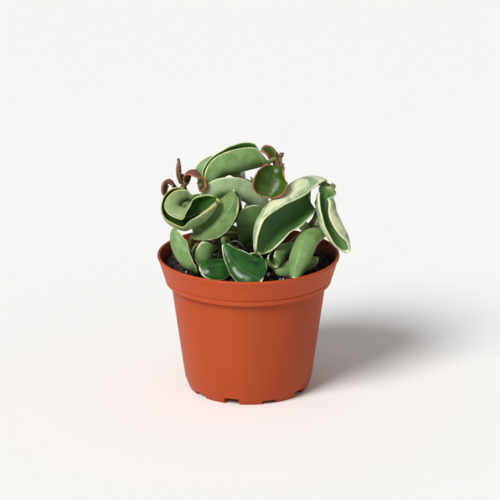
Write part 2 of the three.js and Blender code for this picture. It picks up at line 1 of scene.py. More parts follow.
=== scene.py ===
"""A young variegated rope hoya in a round nursery pot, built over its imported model.

Lengths are millimetres in the tables and metres in the meshes. -Y is the front. The tables are measured
from the pot's own middle, which lies POT_X to the side of the row's origin.
"""
import logging
import math
import random
from dataclasses import dataclass
from enum import Enum
from typing import Callable, Sequence

import bpy
import numpy as np
from mathutils import Matrix, Vector, noise


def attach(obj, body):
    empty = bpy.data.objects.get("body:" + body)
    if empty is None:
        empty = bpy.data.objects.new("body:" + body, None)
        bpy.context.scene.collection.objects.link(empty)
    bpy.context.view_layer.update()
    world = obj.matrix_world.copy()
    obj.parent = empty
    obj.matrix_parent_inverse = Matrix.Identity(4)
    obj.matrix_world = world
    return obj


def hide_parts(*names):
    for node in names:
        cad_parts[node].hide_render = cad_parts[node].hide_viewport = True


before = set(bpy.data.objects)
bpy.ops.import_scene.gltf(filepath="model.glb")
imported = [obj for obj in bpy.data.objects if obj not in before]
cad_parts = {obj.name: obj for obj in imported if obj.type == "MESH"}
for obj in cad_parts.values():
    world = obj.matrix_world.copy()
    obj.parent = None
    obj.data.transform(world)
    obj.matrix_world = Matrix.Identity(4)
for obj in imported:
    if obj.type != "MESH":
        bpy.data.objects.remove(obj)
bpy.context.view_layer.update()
LOG = logging.getLogger("hoya")

MM = 0.001
POT_X = -3.05
BODY = "root"

Point = tuple[float, float, float]


def linear(code: str) -> tuple[float, float, float, float]:
    """Turns an sRGB hex colour into the linear colour that Blender's sockets take.

    Args:
        code: six hex digits after a #.

    Returns:
        Red, green, blue and an alpha of 1.
    """
    parts = [int(code[i:i + 2], 16) / 255 for i in (1, 3, 5)]
    red, green, blue = [p / 12.92 if p <= 0.04045 else ((p + 0.055) / 1.055) ** 2.4 for p in parts]
    return red, green, blue, 1.0


def feed(tree: bpy.types.NodeTree, target: bpy.types.Node, inputs: dict) -> None:
    """Sets some of a node's inputs.

    Args:
        tree: the material's node tree.
        target: the node.
        inputs: a value, or a socket to link from, for each input by its name or number.
    """
    for key, value in inputs.items():
        if isinstance(value, bpy.types.NodeSocket):
            tree.links.new(value, target.inputs[key])
        else:
            target.inputs[key].default_value = value


def node(
    tree: bpy.types.NodeTree, kind: str, inputs: dict | None = None, out: int | str = 0, **settings: object
) -> bpy.types.NodeSocket:
    """Adds one node to a material.

    Args:
        tree: the material's node tree.
        kind: the node's type name after the word ShaderNode.
        inputs: a value, or a socket to link from, for each input by its name or number.
        out: the output that is given back, by its name or number.
        **settings: the node's own settings.

    Returns:
        The output socket.
    """
    made = tree.nodes.new(f"ShaderNode{kind}")
    for key, value in settings.items():
        setattr(made, key, value)
    feed(tree, made, inputs or {})
    return made.outputs[out]


def blank_material(name: str) -> tuple[bpy.types.Material, bpy.types.NodeTree, bpy.types.Node]:
    """Makes a material with the plain shader that every finish starts from.

    Args:
        name: the material's name.

    Returns:
        The material, its node tree and its shader node.
    """
    material = bpy.data.materials.new(name)
    material.use_nodes = True
    tree = material.node_tree
    return material, tree, tree.nodes["Principled BSDF"]


# Every material by the kind of leaf or the word that pieces ask for it with
FINISHES: dict[object, bpy.types.Material] = {}


def deselect_all() -> None:
    """Leaves nothing selected."""
    bpy.ops.object.select_all(action="DESELECT")


def activate(piece: bpy.types.Object) -> None:
    """Selects one object alone and makes it the active one.

    Args:
        piece: the object.
    """
    deselect_all()
    piece.select_set(True)
    bpy.context.view_layer.objects.active = piece


def choose(piece: bpy.types.Object, edges: Callable[[Vector, Vector], bool]) -> None:
    """Goes into edit mode with only some edges selected.

    Args:
        piece: the object to edit.
        edges: says from an edge's two ends if it is selected.
    """
    activate(piece)
    bpy.ops.object.mode_set(mode="EDIT")
    bpy.ops.mesh.select_mode(type="EDGE")
    bpy.ops.mesh.select_all(action="DESELECT")
    bpy.ops.object.mode_set(mode="OBJECT")
    spots = piece.data.vertices
    for edge in piece.data.edges:
        edge.select = edges(spots[edge.vertices[0]].co, spots[edge.vertices[1]].co)
    bpy.ops.object.mode_set(mode="EDIT")


def face_outwards(piece: bpy.types.Object) -> None:
    """Merges the doubles of a closed piece and turns its faces outwards.

    Args:
        piece: the object.
    """
    activate(piece)
    bpy.ops.object.mode_set(mode="EDIT")
    bpy.ops.mesh.select_all(action="SELECT")
    bpy.ops.mesh.remove_doubles(threshold=1e-7)
    bpy.ops.mesh.normals_make_consistent(inside=False)
    bpy.ops.object.mode_set(mode="OBJECT")


def add_modifier(piece: bpy.types.Object, kind: str, **settings: object) -> None:
    """Adds a modifier to a piece and applies it.

    Args:
        piece: the object to change.
        kind: the modifier's type name.
        **settings: the modifier's own settings.
    """
    activate(piece)
    modifier = piece.modifiers.new(kind.title(), kind)
    for key, value in settings.items():
        setattr(modifier, key, value)
    bpy.ops.object.modifier_apply(modifier=modifier.name)


def finish_piece(
    piece: bpy.types.Object, material: bpy.types.Material, slot: str, *nodes: str
) -> bpy.types.Object:
    """Dresses a piece, hangs it on the row's body and lets it stand for its CAD nodes.

    Args:
        piece: the finished object.
        material: what it is made of.
        slot: not used.
        *nodes: the CAD nodes that it stands for.

    Returns:
        The same object.
    """
    piece.data.materials.clear()
    piece.data.materials.append(material)
    activate(piece)
    bpy.ops.object.shade_smooth()
    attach(piece, BODY)
    if nodes:
        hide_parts(*nodes)
    LOG.info("%s: %d faces", piece.name, len(piece.data.polygons))
    return piece


def join(pieces: Sequence[bpy.types.Object], name: str) -> bpy.types.Object:
    """Joins objects into one.

    Args:
        pieces: the objects, the first of which takes in the others.
        name: the joined object's name.

    Returns:
        The joined object.
    """
    activate(pieces[0])
    for piece in pieces:
        piece.select_set(True)
    bpy.ops.object.join()
    pieces[0].name = name
    return pieces[0]


def drawn_out(name: str, around: int, rings: int) -> bpy.types.Object:
    """Makes a cylinder that is cut into rings along its length, to be carried onto another shape.

    Args:
        name: the object's name.
        around: how many points each ring has.
        rings: how many rings there are, both ends among them.

    Returns:
        The object. Its points stand ring by ring from -0.5 to 0.5 in z.
    """
    deselect_all()
    bpy.ops.mesh.primitive_cylinder_add(vertices=around, radius=1, depth=1, end_fill_type="NGON")
    piece = bpy.context.object
    piece.name = name
    choose(piece, lambda a, b: abs(a.z - b.z) > 0.5)
    bpy.ops.mesh.subdivide(number_cuts=rings - 2)
    bpy.ops.object.mode_set(mode="OBJECT")
    return piece


def carry(piece: bpy.types.Object, spots: np.ndarray, **facts: np.ndarray) -> None:
    """Moves a drawn-out cylinder's points onto a shape and writes facts about each point on its mesh.

    Args:
        piece: what drawn_out made.
        spots: the new places in the tables' millimetres, by ring and by place in the ring.
        **facts: for each attribute's name, its values by ring and by place in the ring.
    """
    rings, around = spots.shape[:2]
    mesh = piece.data
    places = np.zeros(len(mesh.vertices) * 3)
    mesh.vertices.foreach_get("co", places)
    places = places.reshape(-1, 3)
    ring = np.rint((places[:, 2] + 0.5) * (rings - 1)).astype(int)
    turn = np.rint(np.arctan2(places[:, 1], places[:, 0]) / (2 * np.pi) * around).astype(int) % around
    moved = (spots[ring, turn] + np.array([POT_X, 0, 0])) * MM
    mesh.vertices.foreach_set("co", moved.ravel())
    for name, values in facts.items():
        attribute = mesh.attributes.new(name, "FLOAT", "POINT")
        attribute.data.foreach_set("value", values[ring, turn].astype(np.float32))
    mesh.update()
    face_outwards(piece)


def risen(
    name: str, sides: int, stations: Sequence[tuple[float, float]], filled: bool,
) -> bpy.types.Object:
    """Draws a circle round the pot's axis, and extrudes and resizes it from station to station.

    Args:
        name: the object's name.
        sides: how many points the circle has.
        stations: the radius and height of the circle, then of each ring after it.
        filled: True for a disc that grows into a solid, False for a bare ring that grows into a sheet.

    Returns:
        The object, in edit mode with its last ring selected.
    """
    axis = Vector((POT_X * MM, 0, 0))
    radius, height = stations[0]
    deselect_all()
    bpy.ops.mesh.primitive_circle_add(
        vertices=sides, radius=radius * MM, fill_type="NGON" if filled else "NOTHING",
        location=axis + Vector((0, 0, height * MM)),
    )
    piece = bpy.context.object
    piece.name = name
    bpy.ops.object.transform_apply(location=True, rotation=False, scale=False)
    bpy.ops.object.mode_set(mode="EDIT")
    if filled:
        bpy.ops.mesh.select_mode(type="FACE")
    bpy.ops.mesh.select_all(action="SELECT")
    for wide, high in stations[1:]:
        if filled:
            bpy.ops.mesh.extrude_region_move()
        else:
            bpy.ops.mesh.extrude_edges_move()
        bpy.ops.transform.translate(value=(0, 0, (high - height) * MM))
        grow = wide / radius
        bpy.ops.transform.resize(value=(grow, grow, 1), center_override=axis)
        radius, height = wide, high
    return piece


def along(values: Sequence, share: float) -> np.ndarray:
    """Reads a list that is spread evenly along a share from 0 to 1.

    Args:
        values: numbers, or points.
        share: the place to read.

    Returns:
        The blended value.
    """
    table = np.asarray(values, float)
    if len(table) == 1:
        return table[0]
    place = min(max(share, 0.0), 1.0) * (len(table) - 1)
    i = min(int(place), len(table) - 2)
    return table[i] + (table[i + 1] - table[i]) * (place - i)


def unit(vector: np.ndarray) -> np.ndarray:
    """The vector at a length of 1."""
    return vector / np.linalg.norm(vector)


def wobble(spot: np.ndarray, size: float, seed: float) -> float:
    """Smooth noise from -1 to 1, with lumps of about this size in millimetres."""
    return noise.noise(Vector(spot) / size + Vector((seed, seed * 0.7, -seed)))


class MiddleLine:
    """A smooth curve through points, read by the share of its length."""

    SPAN_STEPS = 50

    def __init__(self, points: Sequence[Sequence[float]]) -> None:
        """Measures the curve.

        Args:
            points: the points that it passes through.
        """
        self.points = np.asarray(points, float)
        steps = (len(self.points) - 1) * self.SPAN_STEPS
        self.places = np.linspace(0, len(self.points) - 1, steps + 1)
        spots = np.array([self.read(place)[0] for place in self.places])
        pieces = np.linalg.norm(np.diff(spots, axis=0), axis=1)
        self.lengths = np.concatenate([[0], np.cumsum(pieces)])

    @property
    def length(self) -> float:
        """The curve's whole length."""
        return float(self.lengths[-1])

    def share_at(self, knot: int) -> float:
        """The share of the length that lies before one of the points."""
        return float(self.lengths[knot * self.SPAN_STEPS] / self.length)

    def read(self, place: float) -> tuple[np.ndarray, np.ndarray]:
        """Reads the curve by its own parameter.

        Args:
            place: a point's number, with parts between two points.

        Returns:
            The place and the direction, not of unit length.
        """
        pts = self.points
        i = min(int(place), len(pts) - 2)
        t = place - i
        before = pts[i - 1] if i > 0 else 2 * pts[0] - pts[1]
        after = pts[i + 2] if i + 2 < len(pts) else 2 * pts[-1] - pts[-2]
        start = (pts[i + 1] - before) / 2
        end = (after - pts[i]) / 2
        square = -3 * pts[i] + 3 * pts[i + 1] - 2 * start - end
        cube = 2 * pts[i] - 2 * pts[i + 1] + start + end
        return pts[i] + start * t + square * t**2 + cube * t**3, start + 2 * square * t + 3 * cube * t**2

    def at(self, share: float) -> tuple[np.ndarray, np.ndarray]:
        """Reads the curve by the share of its length.

        Args:
            share: 0 at the first point and 1 at the last.

        Returns:
            The place and the direction, of unit length.
        """
        place = float(np.interp(share * self.length, self.lengths, self.places))
        spot, direction = self.read(place)
        return spot, unit(direction)


@dataclass
class Stem:
    """A round stem of changing thickness along a curve, with bark lumps and swollen joints."""

    name: str
    points: Sequence[Point]
    radii: Sequence[float]
    joints: Sequence[float] = ()
    joint_swell: float = 0.5
    joint_length: float = 1.8
    lumps: float = 0.08
    lump_size: float = 1.6
    around: int = 14
    ring_gap: float = 0.9
    subdivided: int = 1
    seed: float = 3.0

    LEAST_RINGS = 6
    END_SHARE = 0.7

    def build(self) -> bpy.types.Object:
        """Draws out a cylinder along the curve.

        Returns:
            The stem.
        """
        line = MiddleLine(self.points)
        rings = max(self.LEAST_RINGS, int(line.length / self.ring_gap))
        spots = np.zeros((rings, self.around, 3))
        guide = np.array([0.0, 1.0, 0.0])
        for i in range(rings):
            share = i / (rings - 1)
            middle, tangent = line.at(share)
            across = unit(np.cross(guide, tangent))
            guide = np.cross(tangent, across)
            radius = float(along(self.radii, share))
            for joint in self.joints:
                off = (share - joint) * line.length / self.joint_length
                radius += self.joint_swell * math.exp(-off * off)
            if i in (0, rings - 1):
                radius *= self.END_SHARE
            for j in range(self.around):
                turn = 2 * math.pi * j / self.around
                out = across * math.cos(turn) + guide * math.sin(turn)
                spot = middle + out * radius
                lump = self.lumps * radius * wobble(spot, self.lump_size, self.seed)
                spots[i, j] = spot + out * lump
        piece = drawn_out(self.name, self.around, rings)
        carry(piece, spots)
        if self.subdivided:
            add_modifier(piece, "SUBSURF", levels=self.subdivided, render_levels=self.subdivided)
        return piece


@dataclass(frozen=True)
class LeafFinish:
    """One kind of waxy hoya leaf, grown with a green blade, a pale uneven margin and a grey-green back.

    To the eye the upper side is deep and wet, the back chalky, and the margin like a brushed cream line.
    """

    name: str
    upper: str
    upper_light: str
    back: str
    back_light: str
    margin: str
    margin_warm: str
    margin_mm: float = 1.3
    jitter_mm: float = 1.6
    cream_back: float = 0.0
    band: float = 0.55
    stalk: str = "#7c8a4a"
    patch_mm: float = 7.0
    cloud_mm: float = 7.0 / 0.55
    fleck_mm: float = 0.9
    midrib: float = 0.3
    gloss: float = 0.3

    BAND_MM = 3.2

    def material(self) -> bpy.types.Material:
        """Makes the leaf material from the facts that the blade's mesh carries.

        Returns:
            The material.
        """
        material, tree, shader = blank_material(self.name)
        coords = node(tree, "TexCoord", out="Object")
        edge, upper_side, stalk, rib = [
            node(tree, "Attribute", out="Fac", attribute_name=name)
            for name in ("edge_mm", "upper_side", "stalk", "rib_mm")
        ]
        # Patches some millimetres across, flecks under a millimetre, and clouds of over a centimetre
        patch = node(tree, "TexNoise", {"Vector": coords, "Scale": 1000 / self.patch_mm, "Detail": 3.0})
        fleck = node(tree, "TexNoise", {"Vector": coords, "Scale": 1000 / self.fleck_mm, "Detail": 2.0})
        cloud = node(
            tree, "TexNoise",
            {"Vector": coords, "Scale": 1000 / self.cloud_mm, "Detail": 4.0, "Distortion": 0.6},
        )
        # The margin's inner border wanders, as the variegation of the real leaf does
        ragged = node(tree, "Math", {0: patch, 1: self.jitter_mm, 2: edge}, operation="MULTIPLY_ADD")
        start = self.margin_mm + 0.5 * self.jitter_mm
        margin = node(
            tree, "MapRange", {0: ragged, 1: start * 0.8, 2: start * 1.2, 3: 1.0, 4: 0.0},
            interpolation_type="SMOOTHSTEP",
        )
        clear = 0.46 * self.cream_back
        band, patchy, midrib, flecks, wash, warm, stalk_share, gloss = [
            node(tree, "MapRange", {0: fact, 1: low, 2: high, 3: at_low, 4: at_high})
            for fact, low, high, at_low, at_high in (
                (ragged, start, start + self.BAND_MM, self.band, 0.0),
                (patch, 0.28, 0.74, 0.0, 1.0),
                (rib, 0.25, 0.7, self.midrib, 0.0),
                (fleck, 0.5, 0.66, 0.0, 0.55),
                (cloud, 0.72 - clear, 0.84 - clear, 0.0, 0.85),
                (cloud, 0.45, 0.65, 0.0, 1.0),
                (stalk, 0.35, 0.95, 0.0, 1.0),
                (upper_side, 0.0, 1.0, 0.5, self.gloss),
            )
        ]
        # Upper side: deep glossy green, lighter towards the margin and along the midrib
        green = linear(self.upper)
        for share, colour in (
            (patchy, self.upper_light), (band, self.upper_light), (midrib, self.back_light),
        ):
            green = node(tree, "Mix", {0: share, 6: green, 7: linear(colour)}, 2, data_type="RGBA")
        # Back: grey-green with fine silvery flecks, washed with cream on the most variegated leaves
        blade = linear(self.back)
        for share, colour in (
            (patchy, self.back_light), (flecks, self.back_light), (wash, self.margin),
        ):
            blade = node(tree, "Mix", {0: share, 6: blade, 7: linear(colour)}, 2, data_type="RGBA")
        # Margin: cream that turns warmer in places
        pale, golden = linear(self.margin), linear(self.margin_warm)
        cream = node(tree, "Mix", {0: warm, 6: pale, 7: golden}, 2, data_type="RGBA")
        stalk_tone = linear(self.stalk)
        for share, colour in ((upper_side, green), (margin, cream), (stalk_share, stalk_tone)):
            blade = node(tree, "Mix", {0: share, 6: blade, 7: colour}, 2, data_type="RGBA")
        # Wax: the upper side is glossier than the back, and flecks dull it a little
        rough = node(tree, "Math", {0: fleck, 1: 0.14, 2: gloss}, operation="MULTIPLY_ADD")
        height = node(tree, "Math", {0: fleck, 1: 0.35, 2: patch}, operation="MULTIPLY_ADD")
        bump = node(tree, "Bump", {"Strength": 0.35, "Distance": 0.35 * MM, "Height": height}, "Normal")
        feed(tree, shader, {
            "Base Color": blade, "Roughness": rough, "Normal": bump,
            "Coat Weight": 0.12, "Coat Roughness": 0.22, "Specular IOR Level": 0.28,
        })
        return material


class LeafKind(Enum):
    """The kinds of leaf on this plant."""

    GREEN = LeafFinish(
        "leaf_green", "#22491b", "#4c7a2c", "#557339", "#7d9d61", "#dbe0b0", "#e6dfa2", margin_mm=0.9,
    )
    SWIRL = LeafFinish(
        "leaf_golden_margin", "#173c0c", "#2f6a18", "#6c8552", "#90a46f", "#cfd28e", "#d9c065",
        margin_mm=1.0,
    )
    CREAM = LeafFinish(
        "leaf_cream_backed", "#4c7243", "#5c8546", "#6f8d70", "#9fb48a", "#d9dfb2", "#e4e0a6",
        margin_mm=1.8, cream_back=0.55, band=0.3, midrib=0.08,
    )
    DARK = LeafFinish(
        "leaf_dark_glossy", "#15381a", "#2c6222", "#5f7c47", "#8ba873", "#dfe6c4", "#e6dfa2", margin_mm=1.1,
        band=0.35, gloss=0.18, midrib=0.1,
    )
    LIGHT = LeafFinish(
        "leaf_light_green", "#2a5a1d", "#4d8030", "#5d8144", "#84a466", "#cfd9a0", "#dcd79a", margin_mm=0.9,
    )
    # A copy of GREEN whose back is lighter: partly a silvery back, partly painted light on the high arch
    # that wears it
    SILVER = LeafFinish(
        "leaf_silvery_and_lit_back", "#22491b", "#4c7a2c", "#88a272", "#b4c99e", "#dbe0b0", "#e6dfa2",
        margin_mm=0.9,
    )
    YOUNG = LeafFinish(
        "leaf_young_red_edged", "#263f08", "#43600f", "#5f342c", "#8c5445", "#b3694b", "#8d4a34",
        margin_mm=1.0, jitter_mm=0.6, band=0.15, stalk="#7a4a35", midrib=0.06,
    )


@dataclass
class Leaf:
    """A thick folded leaf: a stalk, and a blade whose halves turn up from its midrib."""

    name: str
    vine: str
    rib: Sequence[Point]
    face: Sequence[Point]
    half: Sequence[float]
    left: Sequence[float]
    kind: LeafKind
    right: Sequence[float] = ()
    stalk: Sequence[Point] = ()
    fold: float = 0.8
    base: float = 0.38
    tip: float = 0.5
    seed: float = 1.0
    rings: int = 40
    stalk_rings: int = 5
    across: int = 8
    wave: float = 0.5
    dimple: float = 0.28
    crease: float = 0.0
    crease_at: float = 0.0
    crease_width: float = 0.16

    STALK_RADIUS = 1.3
    STALK_FLATNESS = 0.85
    STALK_FADE = 0.1
    BLADE_THICK = 1.9
    EDGE_THICK = 1.0
    CURL_LIMIT = 1.43
    TIP_HALF = 0.7
    TIP_START = 0.9
    TIP_THINNING = 0.8
    SEAT_DEPTH = 0.8
    SEAT_SEARCH = 100
    CURL_SUBSTEPS = 8
    BORDER_STEPS = 60
    STALK_EDGE = 20.0
    STIFF_HALF = 6.0
    WAVE_MM = 9.0
    DIMPLE_MM = 5.0
    DIMPLE_SEED = 4
    CREASE_FADE = 0.7

    def seat(self, vine: "Vine") -> tuple[float, np.ndarray]:
        """Finds where the stalk leaves its vine.

        Args:
            vine: the vine that carries the leaf.

        Returns:
            The share of the vine's length, and the stalk's root just inside the vine's skin.
        """
        first = np.array([*self.stalk, *self.rib][0], float)
        line = MiddleLine(vine.points)
        shares = [i / self.SEAT_SEARCH for i in range(self.SEAT_SEARCH + 1)]
        share = min(shares, key=lambda s: float(np.linalg.norm(line.at(s)[0] - first)))
        middle, tangent = line.at(share)
        away = first - middle
        away = unit(away - tangent * away.dot(tangent))
        return share, middle + away * (vine.radius(share) - self.SEAT_DEPTH)

    def outline(self, share: float) -> float:
        """The blade's width along its length, 1 at its widest."""
        widest = self.base / (self.base + self.tip)
        return (share / widest) ** self.base * ((1 - share) / (1 - widest)) ** self.tip

    def half_width(self, blade: float, side: int) -> float:
        """The flat half width of one side, at a share of the blade."""
        flat = self.half[0] if side < 0 else self.half[-1]
        return max(flat * self.outline(blade), self.TIP_HALF if blade > 0.5 else self.STALK_RADIUS)

    def section(self, half: float, turn: float) -> tuple[np.ndarray, np.ndarray, np.ndarray]:
        """Half of the blade's section, from the midrib outwards.

        Args:
            half: the flat half width.
            turn: how far the half turns up, in radians.

        Returns:
            How far across, how far up and at what angle each place lies.
        """
        fine = self.across * self.CURL_SUBSTEPS
        shares = (np.arange(fine) + 0.5) / fine
        angles = turn * np.minimum(1, shares / self.fold)
        step = half / fine
        across = np.concatenate([[0], np.cumsum(np.cos(angles) * step)])[:: self.CURL_SUBSTEPS]
        up = np.concatenate([[0], np.cumsum(np.sin(angles) * step)])[:: self.CURL_SUBSTEPS]
        places = np.arange(self.across + 1) / self.across
        return across, up, turn * np.minimum(1, places / self.fold)

    def half_thickness(self, shares: np.ndarray, blade: float, stem: float) -> np.ndarray:
        """Half the leaf's thickness across one side.

        Args:
            shares: where to read it, as shares of the half width from the midrib.
            blade: the share of the blade.
            stem: 1 on the stalk and 0 on the blade.

        Returns:
            The half thickness at each share.
        """
        thinning = self.TIP_THINNING if blade > self.TIP_START else 1.0
        sheet = (self.BLADE_THICK + (self.EDGE_THICK - self.BLADE_THICK) * shares**2) * thinning
        stalk = 2 * self.STALK_RADIUS * np.sqrt(1 - self.STALK_FLATNESS * shares**2)
        return (sheet + (stalk - sheet) * stem) / 2

    def margin_distance(self, length: float, blade: float, side: int) -> np.ndarray:
        """How far each place of a half section lies from the flattened blade's margin.

        Args:
            length: the blade's length.
            blade: the share of the blade.
            side: -1 for the left half and 1 for the right one.

        Returns:
            The distances in millimetres, from the midrib outwards.
        """
        border = np.linspace(0, 1, self.BORDER_STEPS)
        rim = np.array([[b * length, self.half_width(b, side)] for b in border])
        shares = np.arange(self.across + 1) / self.across
        out = shares * self.half_width(blade, side)
        spots = np.stack([np.full_like(shares, blade * length), out], axis=1)
        return np.linalg.norm(spots[:, None] - rim[None], axis=2).min(axis=1)

    def ring(
        self, line: MiddleLine, length: float, place: float, blade: float, stem: float
    ) -> list[np.ndarray]:
        """The leaf's section at one place.

        Args:
            line: the leaf's middle line.
            length: the blade's length.
            place: the share of the middle line.
            blade: the share of the blade.
            stem: 1 on the stalk and 0 on the blade.

        Returns:
            The points, and their distances from the margin and the midrib, and 1 on the upper side.
        """
        middle, tangent = line.at(place)
        face = along(self.face, blade)
        face = unit(face - tangent * face.dot(tangent))
        side = np.cross(tangent, face)
        shares = np.arange(self.across + 1) / self.across
        halves = {}
        for sign in (-1, 1):
            half = self.half_width(blade, sign)
            turns = self.left if sign < 0 or not self.right else self.right
            wanted = math.radians(float(along(turns, blade)))
            turn = math.copysign(min(abs(wanted), half * self.fold / self.CURL_LIMIT), wanted) * (1 - stem)
            across, up, angle = self.section(half, turn)
            thick = self.half_thickness(shares, blade, stem)[:, None]
            spot = middle + np.outer(sign * across, side) + np.outer(up, face)
            out = np.outer(-sign * np.sin(angle), side) + np.outer(np.cos(angle), face)
            free = (1 - stem) * min(1.0, half / self.STIFF_HALF)
            waves = np.array([wobble(p, self.WAVE_MM, self.seed) for p in spot])
            dimples = np.array([wobble(p, self.DIMPLE_MM, self.seed + self.DIMPLE_SEED) for p in spot])
            lift = self.wave * shares**2 * waves + self.dimple * dimples
            groove = np.exp(-(((sign * shares - self.crease_at) / self.crease_width) ** 2))
            lift += self.crease * groove * math.sin(math.pi * blade) ** self.CREASE_FADE
            spot = spot + out * (lift * free)[:, None]
            edge = self.margin_distance(length, blade, sign) + self.STALK_EDGE * stem
            halves[sign] = (spot + out * thick, spot - out * thick, edge, shares * half)
        above = [np.concatenate([halves[-1][k][:0:-1], halves[1][k]]) for k in (0, 2, 3)]
        below = [np.concatenate([halves[1][k][:0:-1], halves[-1][k]]) for k in (1, 2, 3)]
        count = len(above[0])
        upper = np.concatenate([np.ones(count), np.zeros(count)])
        return [np.concatenate([a, b]) for a, b in zip(above, below)] + [upper]

    def build(self, vine: "Vine") -> bpy.types.Object:
        """Draws out a cylinder into the leaf.

        Args:
            vine: the vine that carries it.

        Returns:
            The leaf.
        """
        root = self.seat(vine)[1]
        line = MiddleLine([root, *self.stalk, *self.rib])
        stalk_share = line.share_at(len(self.stalk) + 1)
        length = line.length * (1 - stalk_share)
        stations = [(stalk_share * i / self.stalk_rings, 0.0, 1.0) for i in range(self.stalk_rings)]
        blades = self.rings - self.stalk_rings
        for i in range(blades):
            blade = (1 - math.cos(math.pi * i / (blades - 1))) / 2
            stem = max(0.0, 1 - blade / self.STALK_FADE)
            stations.append((min(stalk_share + blade * (1 - stalk_share), 1.0), blade, stem))
        rings = [self.ring(line, length, *station) for station in stations]
        spots, edge, rib, upper = [np.array([ring[k] for ring in rings]) for k in range(4)]
        stalk = np.array([[station[2]] * spots.shape[1] for station in stations])
        piece = drawn_out(self.name.replace("leaf_", "blade_"), spots.shape[1], len(stations))
        carry(piece, spots, edge_mm=edge, rib_mm=rib, upper_side=upper, stalk=stalk)
        add_modifier(piece, "SUBSURF", levels=1, render_levels=1)
        slot = "young_leaf" if self.kind is LeafKind.YOUNG else "leaf"
        return finish_piece(piece, FINISHES[self.kind], slot, self.name)


@dataclass(frozen=True)
class BarkFinish:
    """Dry bark or fibre, furrowed as it grew: long streaks of colour, corky flecks and a dull skin.

    To the eye it is a rough, unpolished twig with darker furrows.
    """

    name: str
    base: str
    light: str
    dark: str
    streak_mm: float = 5.0
    grain_mm: float = 0.6
    roughness: float = 0.7

    def material(self) -> bpy.types.Material:
        """Makes the bark material.

        Returns:
            The material.
        """
        material, tree, shader = blank_material(self.name)
        coords = node(tree, "TexCoord", out="Object")
        stretched = node(tree, "Mapping", {"Vector": coords, "Scale": (1.0, 1.0, 0.25)})
        streak = node(tree, "TexNoise", {"Vector": coords, "Scale": 1000 / self.streak_mm, "Detail": 4.0})
        grain = node(tree, "TexNoise", {"Vector": stretched, "Scale": 1000 / self.grain_mm, "Detail": 3.0})
        streaks = node(tree, "MapRange", {0: streak, 1: 0.35, 2: 0.65, 3: 0.0, 4: 1.0})
        furrows = node(tree, "MapRange", {0: grain, 1: 0.5, 2: 0.36, 3: 0.0, 4: 0.75})
        tone = linear(self.base)
        for share, colour in ((streaks, self.light), (furrows, self.dark)):
            tone = node(tree, "Mix", {0: share, 6: tone, 7: linear(colour)}, 2, data_type="RGBA")
        bump = node(tree, "Bump", {"Strength": 0.7, "Distance": 0.3 * MM, "Height": grain}, "Normal")
        feed(tree, shader, {"Base Color": tone, "Roughness": self.roughness, "Normal": bump})
        return material


@dataclass
class Vine:
    """A woody trailing stem, from inside the mix to its growing tip, swollen where leaves sit."""

    name: str
    points: Sequence[Point]
    base_radius: float = 2.1
    tip_radius: float = 1.5

    def radius(self, share: float) -> float:
        """The vine's radius at a share of its length."""
        return self.base_radius + (self.tip_radius - self.base_radius) * share

    def build(self, leaves: Sequence[Leaf]) -> bpy.types.Object:
        """Builds the vine with a swollen joint at each leaf's seat.

        Args:
            leaves: the leaves that sit on this vine.

        Returns:
            The vine.
        """
        joints = [leaf.seat(self)[0] for leaf in leaves]
        radii = [self.base_radius, self.tip_radius]
        stem = Stem(f"stem_{self.name}", self.points, radii, joints, joint_swell=0.45)
        return finish_piece(stem.build(), FINISHES["vine"], "vine", f"vine_{self.name}")


